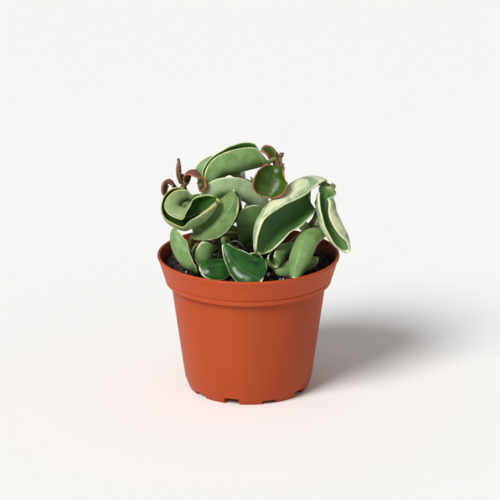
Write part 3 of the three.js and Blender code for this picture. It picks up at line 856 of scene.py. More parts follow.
@dataclass(frozen=True)
class PotFinish:
    """Injection-moulded polypropylene: even terracotta, faint flow streaks, light scuffs, a satin skin.

    To the eye it is one flat colour with a broad soft sheen. The collar is painted paler with painted
    light, and the inside is painted darker with painted shade and some dried peat, most of all just above
    the mix.
    """

    name: str = "pot_moulded_plastic"
    base: str = "#b04b25"
    deep: str = "#a04220"
    scuffed: str = "#c25e36"
    # Painted shade with some dried peat, laid on the inside of the wall
    dust_and_shade: str = "#43261a"
    # Painted light that makes the collar paler, and how strongly it is laid on
    collar_painted_light: str = "#bd5029"
    collar_painted_light_share: float = 0.65
    flow_mm: float = 26.0
    scuff_mm: float = 1.6
    skin_per_mm: float = 2.2
    wall_lean: float = 0.296
    wall_middle: tuple[float, float] = (28.78, 28.98)
    collar_start: float = 66.0
    # Heights where the inside's painted shade and peat are strongest and weakest, and their strengths there
    dust_and_shade_heights: tuple[float, float] = (76.0, 82.4)
    dust_and_shade_shares: tuple[float, float] = (0.85, 0.4)

    def material(self) -> bpy.types.Material:
        """Makes the pot's material.

        Returns:
            The material.
        """
        material, tree, shader = blank_material(self.name)
        coords = node(tree, "TexCoord", out="Object")
        upright = node(tree, "Mapping", {"Vector": coords, "Scale": (1.0, 1.0, 0.2)})
        level = node(tree, "Mapping", {"Vector": coords, "Scale": (0.12, 0.12, 1.6)})
        flow = node(tree, "TexNoise", {"Vector": upright, "Scale": 1000 / self.flow_mm, "Detail": 2.0})
        scuff = node(tree, "TexNoise", {"Vector": level, "Scale": 1000 / self.scuff_mm, "Detail": 4.0})
        skin = node(tree, "TexNoise", {"Vector": coords, "Scale": 1000 * self.skin_per_mm, "Detail": 1.0})
        # A spot's radius, less what the wall's lean adds at its height, tells the wall's two faces apart
        centred = node(tree, "Mapping", {"Vector": coords, "Location": (-POT_X * MM, 0, 0)})
        flat = node(tree, "VectorMath", {0: centred, 1: (1, 1, 0)}, operation="MULTIPLY")
        radius = node(tree, "VectorMath", {0: flat}, "Value", operation="LENGTH")
        rise = node(tree, "SeparateXYZ", {"Vector": coords}, "Z")
        lean = node(tree, "Math", {0: rise, 1: -self.wall_lean, 2: radius}, operation="MULTIPLY_ADD")
        above = node(tree, "Math", {0: rise, 1: self.collar_start * MM}, operation="GREATER_THAN")
        streaks, worn, within, dust_and_shade_share, rough = [
            node(tree, "MapRange", {0: fact, 1: low, 2: high, 3: at_low, 4: at_high})
            for fact, (low, high), (at_low, at_high) in (
                (flow, (0.3, 0.7), (0.0, 0.5)),
                (scuff, (0.66, 0.8), (0.0, 0.3)),
                (lean, [place * MM for place in self.wall_middle], (1.0, 0.0)),
                (rise, [place * MM for place in self.dust_and_shade_heights], self.dust_and_shade_shares),
                (scuff, (0.3, 0.8), (0.4, 0.52)),
            )
        ]
        # Above the collar's bottom the pot is painted paler, which is painted light. Its inside is painted
        # darker, which is painted shade with some dried peat, most of all just above the mix.
        collar_painted_light = node(tree, "Math", {0: above, 1: self.collar_painted_light_share}, operation="MULTIPLY")
        dust_and_shade_share = node(tree, "Math", {0: dust_and_shade_share, 1: within}, operation="MULTIPLY")
        dust_and_shade_share = node(tree, "Math", {0: dust_and_shade_share, 1: above}, operation="MULTIPLY")
        tone = linear(self.base)
        # Flow streaks and scuffs are the plastic's own; the paler collar is painted light and the darker
        # inside painted shade
        for share, colour in (
            (streaks, self.deep), (worn, self.scuffed), (collar_painted_light, self.collar_painted_light), (dust_and_shade_share, self.dust_and_shade),
        ):
            tone = node(tree, "Mix", {0: share, 6: tone, 7: linear(colour)}, 2, data_type="RGBA")
        height = node(tree, "Math", {0: scuff, 1: 0.4, 2: skin}, operation="MULTIPLY_ADD")
        bump = node(tree, "Bump", {"Strength": 0.12, "Distance": 0.05 * MM, "Height": height}, "Normal")
        feed(tree, shader, {
            "Base Color": tone, "Roughness": rough, "Normal": bump, "Specular IOR Level": 0.12,
        })
        return material


@dataclass
class Pot:
    """A round nursery pot with slim walls, a stepped collar, foot notches and drain holes."""

    outside: Sequence[tuple[float, float]] = (
        (35.2, 0.0), (35.6, 0.4), (37.3, 4.9), (37.85, 6.4), (37.92, 6.7), (38.1, 7.0), (41, 28.2),
        (43.4, 46), (45.75, 63.6), (45.85, 65), (46, 65.7), (46.4, 66), (47.2, 66.1), (48.9, 66.15),
        (49.15, 66.25), (49.25, 66.5), (49.7, 69.1), (49.45, 69.3), (49.5, 69.55), (50.1, 69.7),
        (51.6, 74.8), (53.3, 80.3), (53.85, 81),
        (54, 81.4), (54, 82), (53.8, 82.35), (53.4, 82.5),
    )
    inside: Sequence[tuple[float, float]] = (
        (52.9, 82.5), (52.5, 82.35), (52.2, 82), (50.2, 75), (48.5, 69.6), (47.8, 67.1), (45.6, 66.7),
        (44.8, 65.9), (40.6, 35), (36.9, 8.1), (36.5, 6.9), (35.7, 6.3), (20, 6.3), (0.01, 6.3),
    )
    under: Sequence[tuple[float, float]] = (
        (0.01, 5.0), (20, 5.0), (33, 5.0), (33.4, 4.6), (33.4, 0.3), (33.7, 0.0),
    )
    sides: int = 128
    notches: int = 10
    first_notch: float = -106.0
    notch_circle: float = 34.5
    notch_size: tuple[float, float] = (9.0, 9.0)
    notch_heights: tuple[float, float] = (3.9, 2.4)
    drains: int = 5
    drain_radius: float = 3.5
    drain_depth: float = 6.0
    drain_sides: int = 32
    drain_circle: float = 22.0
    floor_middle: float = 5.6
    bevel: float = 0.25
    bevel_over: float = 50.0
    smooth_under: float = 35.0

    POLE_MERGE = 0.03

    def shell(self) -> bpy.types.Object:
        """Spins up the closed wall, with its middle at the pot's axis.

        Returns:
            The wall, all the way round from the floor's underside to its top.
        """
        stations = [*self.under, *self.outside, *self.inside]
        piece = risen("nursery_pot", self.sides, stations, filled=False)
        bpy.ops.mesh.select_all(action="SELECT")
        bpy.ops.mesh.remove_doubles(threshold=self.POLE_MERGE * MM)
        bpy.ops.mesh.normals_make_consistent(inside=False)
        bpy.ops.object.mode_set(mode="OBJECT")
        return piece

    def cut(self, piece: bpy.types.Object, tool: bpy.types.Object) -> None:
        """Takes a tool away from the pot and deletes the tool."""
        add_modifier(piece, "BOOLEAN", operation="DIFFERENCE", object=tool, solver="EXACT")
        bpy.data.objects.remove(tool)

    def build(self) -> bpy.types.Object:
        """Builds the pot with its notches and drain holes.

        Returns:
            The pot.
        """
        piece = self.shell()
        deep, wide = self.notch_size
        for i in range(self.notches):
            turn = math.radians(self.first_notch + 360 * i / self.notches)
            high = self.notch_heights[i % len(self.notch_heights)]
            deselect_all()
            bpy.ops.mesh.primitive_cube_add(size=1)
            tool = bpy.context.object
            tool.data.transform(Matrix.Diagonal((deep * MM, wide * MM, 2 * high * MM, 1)))
            tool.data.transform(Matrix.Translation((self.notch_circle * MM, 0, 0)))
            tool.data.transform(Matrix.Translation((POT_X * MM, 0, 0)) @ Matrix.Rotation(turn, 4, "Z"))
            self.cut(piece, tool)
        for i in range(self.drains):
            turn = 2 * math.pi * i / self.drains
            x, y = POT_X + self.drain_circle * math.cos(turn), self.drain_circle * math.sin(turn)
            deselect_all()
            bpy.ops.mesh.primitive_cylinder_add(
                vertices=self.drain_sides, radius=self.drain_radius * MM, depth=self.drain_depth * MM,
                location=(x * MM, y * MM, self.floor_middle * MM),
            )
            self.cut(piece, bpy.context.object)
        add_modifier(
            piece, "BEVEL", width=self.bevel * MM, segments=2, limit_method="ANGLE",
            angle_limit=math.radians(self.bevel_over),
        )
        face_outwards(piece)
        finish_piece(piece, FINISHES["pot"], "pot", "pot")
        bpy.ops.object.shade_smooth_by_angle(angle=math.radians(self.smooth_under))
        return piece


@dataclass(frozen=True)
class MixFinish:
    """One part of damp milled potting mix: a dark and a light tone in grains, and no shine.

    To the eye it is loose and crumbly, and swallows nearly all light.
    """

    name: str
    dark: str
    light: str
    grain_mm: float = 2.2
    roughness: float = 0.92

    def material(self) -> bpy.types.Material:
        """Makes the mix's material.

        Returns:
            The material.
        """
        material, tree, shader = blank_material(self.name)
        coords = node(tree, "TexCoord", out="Object")
        scale = 1000 / self.grain_mm
        grain = node(tree, "TexNoise", {"Vector": coords, "Scale": scale, "Detail": 6.0})
        cell = node(tree, "TexVoronoi", {"Vector": coords, "Scale": scale}, "Distance")
        share = node(tree, "MapRange", {0: grain, 1: 0.42, 2: 0.72, 3: 0.0, 4: 1.0})
        dark, light = linear(self.dark), linear(self.light)
        tone = node(tree, "Mix", {0: share, 6: dark, 7: light}, 2, data_type="RGBA")
        height = node(tree, "Math", {0: cell, 1: 0.5, 2: grain}, operation="MULTIPLY_ADD")
        bump = node(tree, "Bump", {"Strength": 0.9, "Distance": 0.8 * MM, "Height": height}, "Normal")
        feed(tree, shader, {"Base Color": tone, "Roughness": self.roughness, "Normal": bump})
        return material


@dataclass
class PottingMix:
    """The plug of potting mix with crumbs, bark bits, fibres and perlite on top."""

    surface: float = 75.3
    wall: Sequence[tuple[float, float]] = (
        (35.4, 6.6), (36.6, 8.4), (44.5, 66.2), (45.3, 67), (47.5, 67.4), (48.2, 69.9),
    )
    edge: float = 49.7
    sides: int = 96
    top_rings: int = 26
    loose: Sequence[tuple[str, int, tuple[float, float], float, str]] = (
        ("mix_crumbs", 620, (1.0, 3.6), 0.7, "mix"),
        ("mix_bark_chips", 90, (2.5, 5.5), 0.3, "chip"),
        ("mix_perlite", 130, (0.5, 1.5), 0.8, "perlite"),
    )
    seed: int = 41
    fibres: int = 60
    fibre_seed: int = 48

    # The swells across the top: turns per millimetre along x and y, and a start, all in radians
    SWELLS = ((0.31, 0.17, 0.0), (-0.12, 0.37, 1.3), (0.55, 0.55, 0.4))
    RELIEF = 0.3
    LEVEL_EDGE = 6.0
    ROUGHNESS = 0.5
    ROUGH_MM = 3.0
    ROUGH_SEED = 8.0
    ROUGH_AT_EDGE = 0.3
    TOP_BAND = 0.2
    LUMPINESS = 0.35
    LUMP_TURNS = 2.3
    LUMP_WIDTHS = (0.55, 0.9)
    LUMP_RISE = 0.12
    EDGE_SHARE = 0.6
    EDGE_GAP = 0.3
    STANDING = 1.2
    ANY_TURN = 6.28
    FIBRE_POINTS = 4
    FIBRE_EDGE = 7.0
    FIBRE_BEND = 0.7
    FIBRE_STEP = 1.9
    FIBRE_LIFT = 0.5
    FIBRE_RIPPLE = 0.35
    FIBRE_PHASE = 2.1
    FIBRE_RADII = (0.16, 0.2, 0.12)

    def level(self, x: float, y: float) -> float:
        """The height of the mix's top at a place.

        Args:
            x: the place to the right of the pot's axis.
            y: the place behind it.

        Returns:
            The height in millimetres.
        """
        calm = min(max((self.edge - math.hypot(x, y)) / self.LEVEL_EDGE, 0), 1)
        rough = self.ROUGHNESS * wobble(np.array([x, y, 0.0]), self.ROUGH_MM, self.ROUGH_SEED)
        swell = self.RELIEF * sum(math.sin(a * x + b * y + start) for a, b, start in self.SWELLS) * calm
        return self.surface + swell + rough * (self.ROUGH_AT_EDGE + (1 - self.ROUGH_AT_EDGE) * calm)

    def plug(self) -> bpy.types.Object:
        """Extrudes the plug up the pot's inside, insets its top and roughens it.

        Returns:
            The plug.
        """
        stations = [*self.wall, (self.edge, self.surface)]
        piece = risen("potting_mix", self.sides, stations, filled=True)
        for _ in range(self.top_rings):
            bpy.ops.mesh.inset(thickness=self.edge / (self.top_rings + 1) * MM)
        bpy.ops.mesh.poke()
        bpy.ops.object.mode_set(mode="OBJECT")
        for spot in piece.data.vertices:
            if spot.co.z > (self.surface - self.TOP_BAND) * MM:
                spot.co.z = self.level(spot.co.x / MM - POT_X, spot.co.y / MM) * MM
        face_outwards(piece)
        return piece

    def scattered(
        self, name: str, count: int, sizes: tuple[float, float], flat: float, seed: int
    ) -> bpy.types.Object:
        """Models one lump, copies it over the mix's top and joins the copies.

        Args:
            name: the joined object's name.
            count: how many copies there are.
            sizes: the smallest and largest size across.
            flat: how flat a lump is, as a share of its width.
            seed: starts the random places.

        Returns:
            The joined lumps.
        """
        deselect_all()
        bpy.ops.mesh.primitive_cube_add(size=1)
        model = bpy.context.object
        bpy.ops.object.mode_set(mode="EDIT")
        bpy.ops.mesh.subdivide(number_cuts=1, smoothness=0.9)
        bpy.ops.object.mode_set(mode="OBJECT")
        for spot in model.data.vertices:
            spot.co *= 1 + self.LUMPINESS * noise.noise(spot.co * self.LUMP_TURNS)
        draw = random.Random(seed)
        copies = []
        for _ in range(count):
            size = draw.uniform(*sizes)
            reach = (self.edge - size * self.EDGE_SHARE - self.EDGE_GAP) * math.sqrt(draw.random())
            turn = draw.uniform(0, 2 * math.pi)
            x, y = reach * math.cos(turn), reach * math.sin(turn)
            spun = draw.uniform(0, self.ANY_TURN)
            axis = Vector((draw.uniform(-1, 1), draw.uniform(-1, 1), self.STANDING))
            spin = Matrix.Rotation(spun, 4, axis)
            shape = Matrix.Diagonal((size, size * draw.uniform(*self.LUMP_WIDTHS), size * flat, 1))
            place = Vector((x + POT_X, y, self.level(x, y) + size * flat * self.LUMP_RISE)) * MM
            copy = bpy.data.objects.new(name, model.data.copy())
            copy.data.transform(Matrix.Translation(place) @ Matrix.Scale(MM, 4) @ spin @ shape)
            bpy.context.collection.objects.link(copy)
            copies.append(copy)
        bpy.data.objects.remove(model)
        return join(copies, name)

    def fibre_heap(self) -> bpy.types.Object:
        """Strews short curved coir fibres over the mix's top.

        Returns:
            The joined fibres.
        """
        draw = random.Random(self.fibre_seed)
        pieces = []
        for i in range(self.fibres):
            reach = (self.edge - self.FIBRE_EDGE) * math.sqrt(draw.random())
            turn, heading = draw.uniform(0, self.ANY_TURN), draw.uniform(0, self.ANY_TURN)
            x, y = reach * math.cos(turn), reach * math.sin(turn)
            points = []
            for k in range(self.FIBRE_POINTS):
                ripple = self.FIBRE_RIPPLE * math.sin(k * self.FIBRE_PHASE + i)
                points.append((x, y, self.level(x, y) + self.FIBRE_LIFT + ripple))
                heading += draw.uniform(-self.FIBRE_BEND, self.FIBRE_BEND)
                x, y = x + self.FIBRE_STEP * math.cos(heading), y + self.FIBRE_STEP * math.sin(heading)
            fibre = Stem(f"fibre_{i}", points, self.FIBRE_RADII, around=5, ring_gap=1.2, subdivided=0)
            pieces.append(fibre.build())
        return join(pieces, "mix_fibres")

    def build(self) -> None:
        """Builds and dresses all of the mix."""
        finish_piece(self.plug(), FINISHES["mix"], "soil", "soil")
        for i, (name, count, sizes, flat, finish) in enumerate(self.loose):
            heap = self.scattered(name, count, sizes, flat, self.seed + i)
            finish_piece(heap, FINISHES[finish], "soil")
        finish_piece(self.fibre_heap(), FINISHES["fibre"], "soil")


@dataclass
class Studio:
    """The camera at the photograph's angle, a pale floor and soft light from the front left."""

    aim: Point = (-2.1, 0.0, 84.5)
    distance: float = 1500.0
    elevation: float = 18.0
    lens: float = 182.4
    floor_size: float = 12.0
    key_strength: float = 3.0
    key_angle: float = 26.0
    key_from: Point = (-0.62, -0.72, 0.86)
    ambient: float = 0.34

    def build(self) -> None:
        """Adds the camera, the floor, the lights and the world."""
        rise = math.radians(self.elevation)
        back = Vector((0, -math.cos(rise), math.sin(rise)))
        camera = bpy.data.objects.new("camera", bpy.data.cameras.new("camera"))
        camera.data.lens = self.lens
        camera.data.clip_end = 50
        camera.location = (Vector(self.aim) + back * self.distance) * MM
        camera.rotation_euler = (-back).to_track_quat("-Z", "Y").to_euler()
        bpy.context.collection.objects.link(camera)
        bpy.context.scene.camera = camera
        deselect_all()
        bpy.ops.mesh.primitive_plane_add(size=self.floor_size)
        floor = bpy.context.object
        floor.name = "floor"
        # A matt painted board: the eye sees only the soft shadow on it
        material, _, shader = blank_material("floor_pale")
        shader.inputs["Base Color"].default_value = linear("#fbfaf8")
        shader.inputs["Roughness"].default_value = 0.9
        floor.data.materials.append(material)
        sun = bpy.data.objects.new("key", bpy.data.lights.new("key", "SUN"))
        sun.data.energy = self.key_strength
        sun.data.angle = math.radians(self.key_angle)
        sun.rotation_euler = Vector(self.key_from).to_track_quat("Z", "Y").to_euler()
        bpy.context.collection.objects.link(sun)
        world = bpy.data.worlds.new("studio")
        world.use_nodes = True
        ground = world.node_tree.nodes["Background"]
        ground.inputs["Color"].default_value = linear("#ffffff")
        ground.inputs["Strength"].default_value = self.ambient
        bpy.context.scene.world = world
        bpy.context.scene.view_settings.view_transform = "Standard"


VINES = {vine.name: vine for vine in (
    Vine("left", [
        (-13, 4, 50), (-14, 4, 76), (-21, 5, 92), (-30, 6, 106), (-36, 6, 117), (-39, 5, 123),
    ]),
    Vine("centre", [
        (3, 9, 50), (3, 10, 76), (3, 13, 95), (5, 13.5, 108), (9, 12, 120), (14.5, 9, 130), (17.5, 6, 138),
    ]),
    Vine("right", [
        (17, 2, 50), (20, 2, 76), (31, 4, 90), (38.5, 5, 101), (42, 6, 110), (46.5, 5, 118), (50, -2, 125),
    ]),
    Vine("front", [(-3, -12, 50), (-4, -13, 76), (-7, -15, 86), (-11, -18, 94), (-13, -20, 99)]),
    Vine("low", [(13, -11, 50), (14, -12, 76), (17, -10, 83), (21, -5, 89)]),
    Vine("back_left", [(-11, 17, 50), (-12, 18, 76), (-16, 20, 90), (-16, 21, 102)]),
    Vine("back_right", [(13, 17, 50), (14, 18, 76), (18, 19, 90), (19, 18, 103)]),
)}
# Leaves. rib is the blade's middle line from base to tip, face where its upper side looks, half the flat
# half widths of its two sides, left and right how far these turn up in degrees, and fold the share that
# turns. Where right isn't given, both sides turn alike.
LEAVES = [
    Leaf(
        "leaf_crown", "centre", stalk=[(15, 5.5, 139)],
        rib=[
            (11.8, 5, 137), (6, 4, 135), (-1.5, 3, 133.4), (-8.5, 2, 132), (-15.5, 2, 128.5),
            (-21, 1, 119.8),
        ],
        face=[(0, 0, 1)], half=[21, 21], left=[100, 112, 105], fold=0.7, base=0.26, tip=0.42,
        kind=LeafKind.GREEN, seed=1.3,
    ),
    Leaf(
        "leaf_behind_crown", "centre", stalk=[(1, 14, 122)],
        rib=[(-5, 16, 124), (-14, 18, 127.5), (-22.5, 18, 126), (-28, 17, 120)], face=[(-0.3, 0.6, 0.8)],
        half=[13], left=[90], fold=0.7, tip=0.4, kind=LeafKind.LIGHT, seed=2.1,
    ),
    Leaf(
        "leaf_arch", "centre", stalk=[(9, 8, 99)],
        rib=[
            (10.5, 3, 103), (5.6, 1.5, 108.8), (-0.9, 0, 114), (-7, -1, 117.6), (-12.5, -2, 119),
            (-17.8, -2, 117.2), (-21.6, -2, 111.5),
        ],
        face=[(0.1, 0.15, 1)], half=[17.5, 9], left=[90, 95, 90], fold=0.7, base=0.6, tip=0.38,
        kind=LeafKind.SILVER, seed=3.7,
    ),
    Leaf(
        "leaf_lobe", "left", stalk=[(-22, -1, 88), (-31, -7, 89), (-34.5, -11.5, 92.5)],
        rib=[
            (-32.4, -14, 97.8), (-28.4, -13.4, 105.2), (-23.4, -13, 111.8), (-17.8, -14, 117.6),
            (-12.5, -14.5, 122.4), (-8, -14.5, 126),
        ],
        face=[(0.72, -0.12, -0.6)], half=[21, 24.5], left=[85, 90, 95], right=[75, 84, 86], fold=0.75,
        base=0.38, tip=0.42, kind=LeafKind.GREEN, seed=4.2, crease=4.5, crease_at=-0.36, crease_width=0.12,
        across=12,
    ),
    Leaf(
        "leaf_left_swirl", "left", stalk=[(-30, 1, 113)],
        rib=[
            (-31.6, -4, 117), (-36.5, -6, 117.2), (-40.3, -8, 115.6), (-40.8, -12, 112.4),
            (-38, -15, 110.4), (-32, -16.5, 110.8), (-24.5, -18, 114.4), (-17.2, -21.5, 122),
        ],
        
        face=[
            (0, 0, 1), (-0.2, -0.1, 1), (-0.8, -0.4, 0.4), (-0.6, -0.7, 0), (0, -0.85, 0.5), (0, -0.7, 0.7),
            (0, -0.65, 0.75),
        ],
        half=[19.5, 19], left=[95, 142, 150, 118, 88], right=[95, 138, 122, 95], base=0.6, tip=0.5,
        kind=LeafKind.SWIRL, seed=5.9, rings=56,
    ),
    Leaf(
        "leaf_big_open", "right",
        rib=[
            (45, -0.6, 125.5), (39, -1, 129.8), (28.8, -2.2, 127.8), (17.8, -5.4, 116.8), (8.8, -12, 104.4),
            (5.1, -24, 89.6),
        ],
        face=[(0, -0.4, -0.9), (0.28, -0.55, -0.8), (0.45, -0.85, -0.4), (0.5, -0.8, 0), (0.5, -0.75, 0.3)],
        half=[29, 24], left=[92, 120, 122, 98], right=[55, 98, 92, 82], base=0.5, tip=0.5,
        kind=LeafKind.CREAM, seed=6.4, wave=0.25,
    ),
    Leaf(
        "leaf_right_hanging", "right",
        rib=[
            (48.3, -8.5, 125.5), (45.7, -9, 120), (46.1, -9.5, 113.5), (48.4, -9.5, 106), (52, -10, 99),
            (55.7, -11, 93), (59, -14, 87.5),
        ],
        
        face=[
            (-0.1, -0.5, 0.8), (-0.15, -0.98, 0), (-0.15, -0.98, 0), (-0.15, -0.98, 0), (-0.15, -0.98, 0),
        ],
        half=[17.5, 15.8], left=[120, 148, 138, 108], right=[120, 144, 136, 108], fold=0.85, base=0.5,
        tip=0.6, kind=LeafKind.CREAM, seed=7.7,
    ),
    Leaf(
        "leaf_centre", "centre", stalk=[(-2, 3, 103), (-8, -5.5, 104)],
        rib=[(-6.4, -8.3, 104.2), (-2, -9.6, 103.2), (4, -8.8, 101.4), (9.5, -5.8, 99.5)],
        face=[(0.45, 0.85, 0.3), (0.1, 0.95, 0.3), (0.1, 0.95, 0.3), (-0.2, 0.95, 0.3)], half=[25, 14.8],
        left=[0, 10, 20, 30], right=[0, 20, 40, 40], base=0.34, tip=0.4, kind=LeafKind.GREEN, seed=8.3,
    ),
    # This leaf takes the dark kind as painted shade, to darken the shaded middle between the front leaves
    Leaf(
        "leaf_shadow", "low", rib=[(9.8, -14, 79.6), (6, -17, 81.6), (1.5, -19.5, 82.5), (-3, -21, 82)],
        face=[(0.1, -0.2, 1)], half=[8], left=[70], kind=LeafKind.DARK, seed=9.1,
    ),
    Leaf(
        "leaf_under", "centre", rib=[(-4, 7, 86), (-8, 5, 90.5), (-13, 3.5, 92.5), (-17.5, 3, 91.5)],
        face=[(0.1, 0, 1)], half=[8.4, 10], left=[70], kind=LeafKind.GREEN, seed=9.8,
    ),
    Leaf(
        "leaf_left_wall", "left", stalk=[(-20, -7, 79), (-26, -20, 78.7)],
        rib=[
            (-30.5, -27.5, 79.9), (-37.5, -28.5, 84.3), (-42.6, -26.5, 91), (-44.8, -24, 98),
            (-44, -22, 105),
        ],
        face=[(0.1, 0, 1), (0.4, 0.1, 0.9), (0.8, 0.2, 0.3), (0.95, 0.2, 0)], half=[13.6, 12.5],
        left=[60, 85, 85, 55], right=[60, 85, 85, 80], fold=0.7, base=0.45, tip=0.4, kind=LeafKind.GREEN,
        seed=10.6,
    ),
    Leaf(
        "leaf_front_rolled", "front", stalk=[(-13, -17.5, 82)],
        rib=[(-20, -18.3, 83), (-21.8, -18, 86), (-21.6, -17, 89), (-20, -15.5, 91.6)],
        face=[(-0.2, 0, -1), (-0.9, -0.3, -0.1), (-0.9, -0.35, 0.15), (-0.9, -0.35, 0.15)],
        half=[14.5, 17.4], left=[60, 95, 95, 90], fold=0.7, base=0.45, tip=0.45, kind=LeafKind.GREEN,
        seed=11.2,
    ),
    Leaf(
        "leaf_front_dark", "front",
        rib=[
            (-14.8, -26, 99), (-12.4, -31.8, 94.3), (-8.6, -37.2, 89.6), (-3.6, -42, 85.6),
            (2.4, -45, 82.8), (8, -46.6, 80.8),
        ],
        face=[(0, 0, 1), (0.1, -0.75, 0.6), (0.15, -0.75, 0.6), (0.25, -0.8, 0.5), (0.4, -0.8, 0.42)],
        half=[16.5, 8], left=[10, -20, -30], right=[-50, -50, -30], base=1.05, tip=0.3, kind=LeafKind.DARK,
        seed=12.8, wave=1.8, dimple=0.5,
    ),
    Leaf(
        "leaf_front_low", "front", stalk=[(-6.5, -24, 84.5)],
        rib=[(-9.5, -29.4, 85), (-15.5, -32.4, 85.6), (-22.5, -34.4, 85.6), (-28.4, -35, 84)],
        face=[(0, -0.6, 0.8)], half=[10, 8], left=[-30, -35, -30], base=0.45, tip=0.4, kind=LeafKind.DARK,
        seed=13.4, wave=1.2, dimple=0.5,
    ),
    Leaf(
        "leaf_right_banana", "right", stalk=[(42, 0, 96.5)],
        rib=[
            (42.6, -4, 97.5), (41.6, -8.5, 100.2), (38.2, -15, 101.6), (34.4, -21.5, 99.4),
            (30.8, -27.5, 93), (28, -32.5, 85), (26.6, -35.5, 78.8),
        ],
        face=[(0, -0.2, -1), (0.2, 0.8, -0.5), (0.3, 0.9, 0), (0.3, 0.9, 0)], half=[11.4],
        left=[80, 70, 65], right=[80, 85, 90], fold=0.7, base=0.42, tip=0.35, kind=LeafKind.LIGHT,
        seed=14.9,
    ),
    Leaf(
        "leaf_right_rim", "low",
        rib=[(16.4, -25.6, 80.1), (21.8, -24.4, 82.2), (30.8, -19.6, 84.2), (40.8, -15, 84)],
        face=[(0, 0.7, -0.7)], half=[8, 5], left=[50, 60, 50], base=0.45, tip=0.45, kind=LeafKind.LIGHT,
        seed=15.5,
    ),
    Leaf(
        "leaf_rolled_tube", "low", stalk=[(24, -6, 90.3)],
        rib=[(26.7, -9, 90.9), (22.8, -13.5, 88.2), (18.4, -19.5, 85), (16.2, -27, 82.5)],
        face=[(-0.4, 0, 0.9)], half=[11.5], left=[90, 145, 145, 145, 145], fold=0.9, base=0.5, tip=0.08,
        kind=LeafKind.GREEN, seed=16.1, wave=0.2,
    ),
    Leaf(
        "leaf_young_cup", "centre",
        rib=[(17, -8.8, 138.4), (14.1, -12, 132.8), (11.2, -14.8, 126.8), (9.4, -16.4, 121.8)],
        face=[(0, -0.2, 1), (-0.1, -0.95, 0.1), (-0.1, -0.95, 0.1), (-0.1, -0.95, 0.1)], half=[14.4],
        left=[70, 75, 60], fold=0.9, base=0.58, tip=0.5, kind=LeafKind.YOUNG, seed=17.3, dimple=0.6,
    ),
    Leaf(
        "leaf_young_top", "centre",
        rib=[(14.6, 10.4, 137), (13.2, 12, 140), (10.4, 13.3, 142), (7.4, 14, 142.4)],
        face=[(0.2, -0.6, 0.8)], half=[4.4], left=[40], kind=LeafKind.YOUNG, tip=0.45, seed=18.4,
    ),
    Leaf(
        "leaf_young_loop", "left",
        rib=[
            (-36, 3.8, 125.2), (-36, 2, 129), (-35, 0, 132.6), (-31.5, -4, 134), (-28.3, -6, 131.6),
            (-26.6, -8, 127.5), (-28, -8.5, 123),
        ],
        
        face=[
            (0.5, -0.7, -0.4), (0.7, -0.6, -0.1), (0.3, -0.2, -0.8), (-0.3, 0, -0.9), (-0.5, -0.85, -0.2),
            (-0.2, -0.95, -0.1),
        ],
        half=[5], left=[0, 40, 40], base=0.5, tip=0.5, kind=LeafKind.YOUNG, seed=19.2,
    ),
    Leaf(
        "leaf_young_hook", "left", stalk=[(-41.5, 4, 119.5)],
        rib=[(-43.8, 2, 123.5), (-46.3, 0, 127.5), (-49, -2, 126.5), (-49.8, -3, 122), (-48.5, -3, 118.5)],
        face=[(-0.5, -0.2, -0.9), (0, -0.4, -0.9), (0.8, -0.6, 0.1), (0.8, -0.6, 0.1)], half=[3.6],
        left=[60], tip=0.45, kind=LeafKind.YOUNG, seed=20.6,
    ),
    Leaf(
        "leaf_back_tall", "back_left",
        rib=[(-10, 21, 109), (-9, 26, 115.5), (-12, 32, 114.5), (-15, 36, 106), (-15, 37, 97)],
        face=[(0, -0.85, 0.5), (0, 0.1, 1), (-0.2, 0.8, 0.5), (-0.2, 0.9, 0.3)], half=[15.5],
        left=[80, 120, 130], right=[100, 90, 60], kind=LeafKind.CREAM, seed=21.5,
    ),
    Leaf(
        "leaf_back_side", "back_right",
        rib=[(22, 18, 105), (25, 23, 109), (28, 30, 106), (29, 35, 97), (28, 36, 88)],
        face=[(-0.4, -0.6, 0.7), (0, 0.1, 1), (0.2, 0.85, 0.5), (0.3, 0.9, 0.2)], half=[15],
        left=[90, 60, 40], right=[100, 130, 120], kind=LeafKind.GREEN, seed=22.9,
    ),
    Leaf(
        "leaf_back_middle", "centre",
        rib=[(6, 20, 115), (7, 26, 118), (7.5, 33, 114), (7, 37, 106), (6, 38.5, 99)],
        face=[(0, -0.5, 0.9), (0, 0.3, 1), (0.1, 0.8, 0.5), (0, 0.9, 0.3)], half=[8.4], left=[60, 65, 40],
        right=[60, 80, 50], kind=LeafKind.DARK, seed=23.8,
    ),
    Leaf(
        "leaf_back_right_high", "right", rib=[(43, 12, 107), (45, 18, 108), (46, 24, 103), (45.5, 28, 96)],
        face=[(0, -0.2, 1), (0.2, 0.3, 0.9), (0.4, 0.7, 0.5)], half=[9], left=[100, 100, 90],
        kind=LeafKind.LIGHT, seed=24.2,
    ),
    Leaf(
        "leaf_back_low", "back_right", rib=[(9, 24, 92), (7, 31, 95), (4, 38, 92), (2, 42, 84)],
        face=[(0.1, -0.4, 0.9), (0, 0.3, 0.9), (0, 0.7, 0.6)], half=[13], left=[60, 100, 90], base=0.6,
        kind=LeafKind.SWIRL, seed=25.7,
    ),
    Leaf(
        "leaf_back_left_high", "left",
        rib=[(-30, 14, 105), (-32, 20, 105), (-36, 25, 101), (-38, 28, 95), (-37, 30, 89)],
        face=[(0.2, 0, 1), (-0.2, 0.4, 0.9), (-0.4, 0.8, 0.4)], half=[13], left=[80, 60, 40],
        right=[100, 120, 100], kind=LeafKind.GREEN, seed=26.3,
    ),
    Leaf(
        "leaf_back_left_low", "back_left", rib=[(-20, 26, 88), (-24, 32, 90), (-27, 36, 85), (-28, 37, 80)],
        face=[(0, -0.2, 1), (-0.2, 0.4, 0.9), (-0.3, 0.8, 0.5)], half=[11], left=[50, 60, 70],
        right=[50, 40, 40], kind=LeafKind.DARK, seed=27.1,
    ),
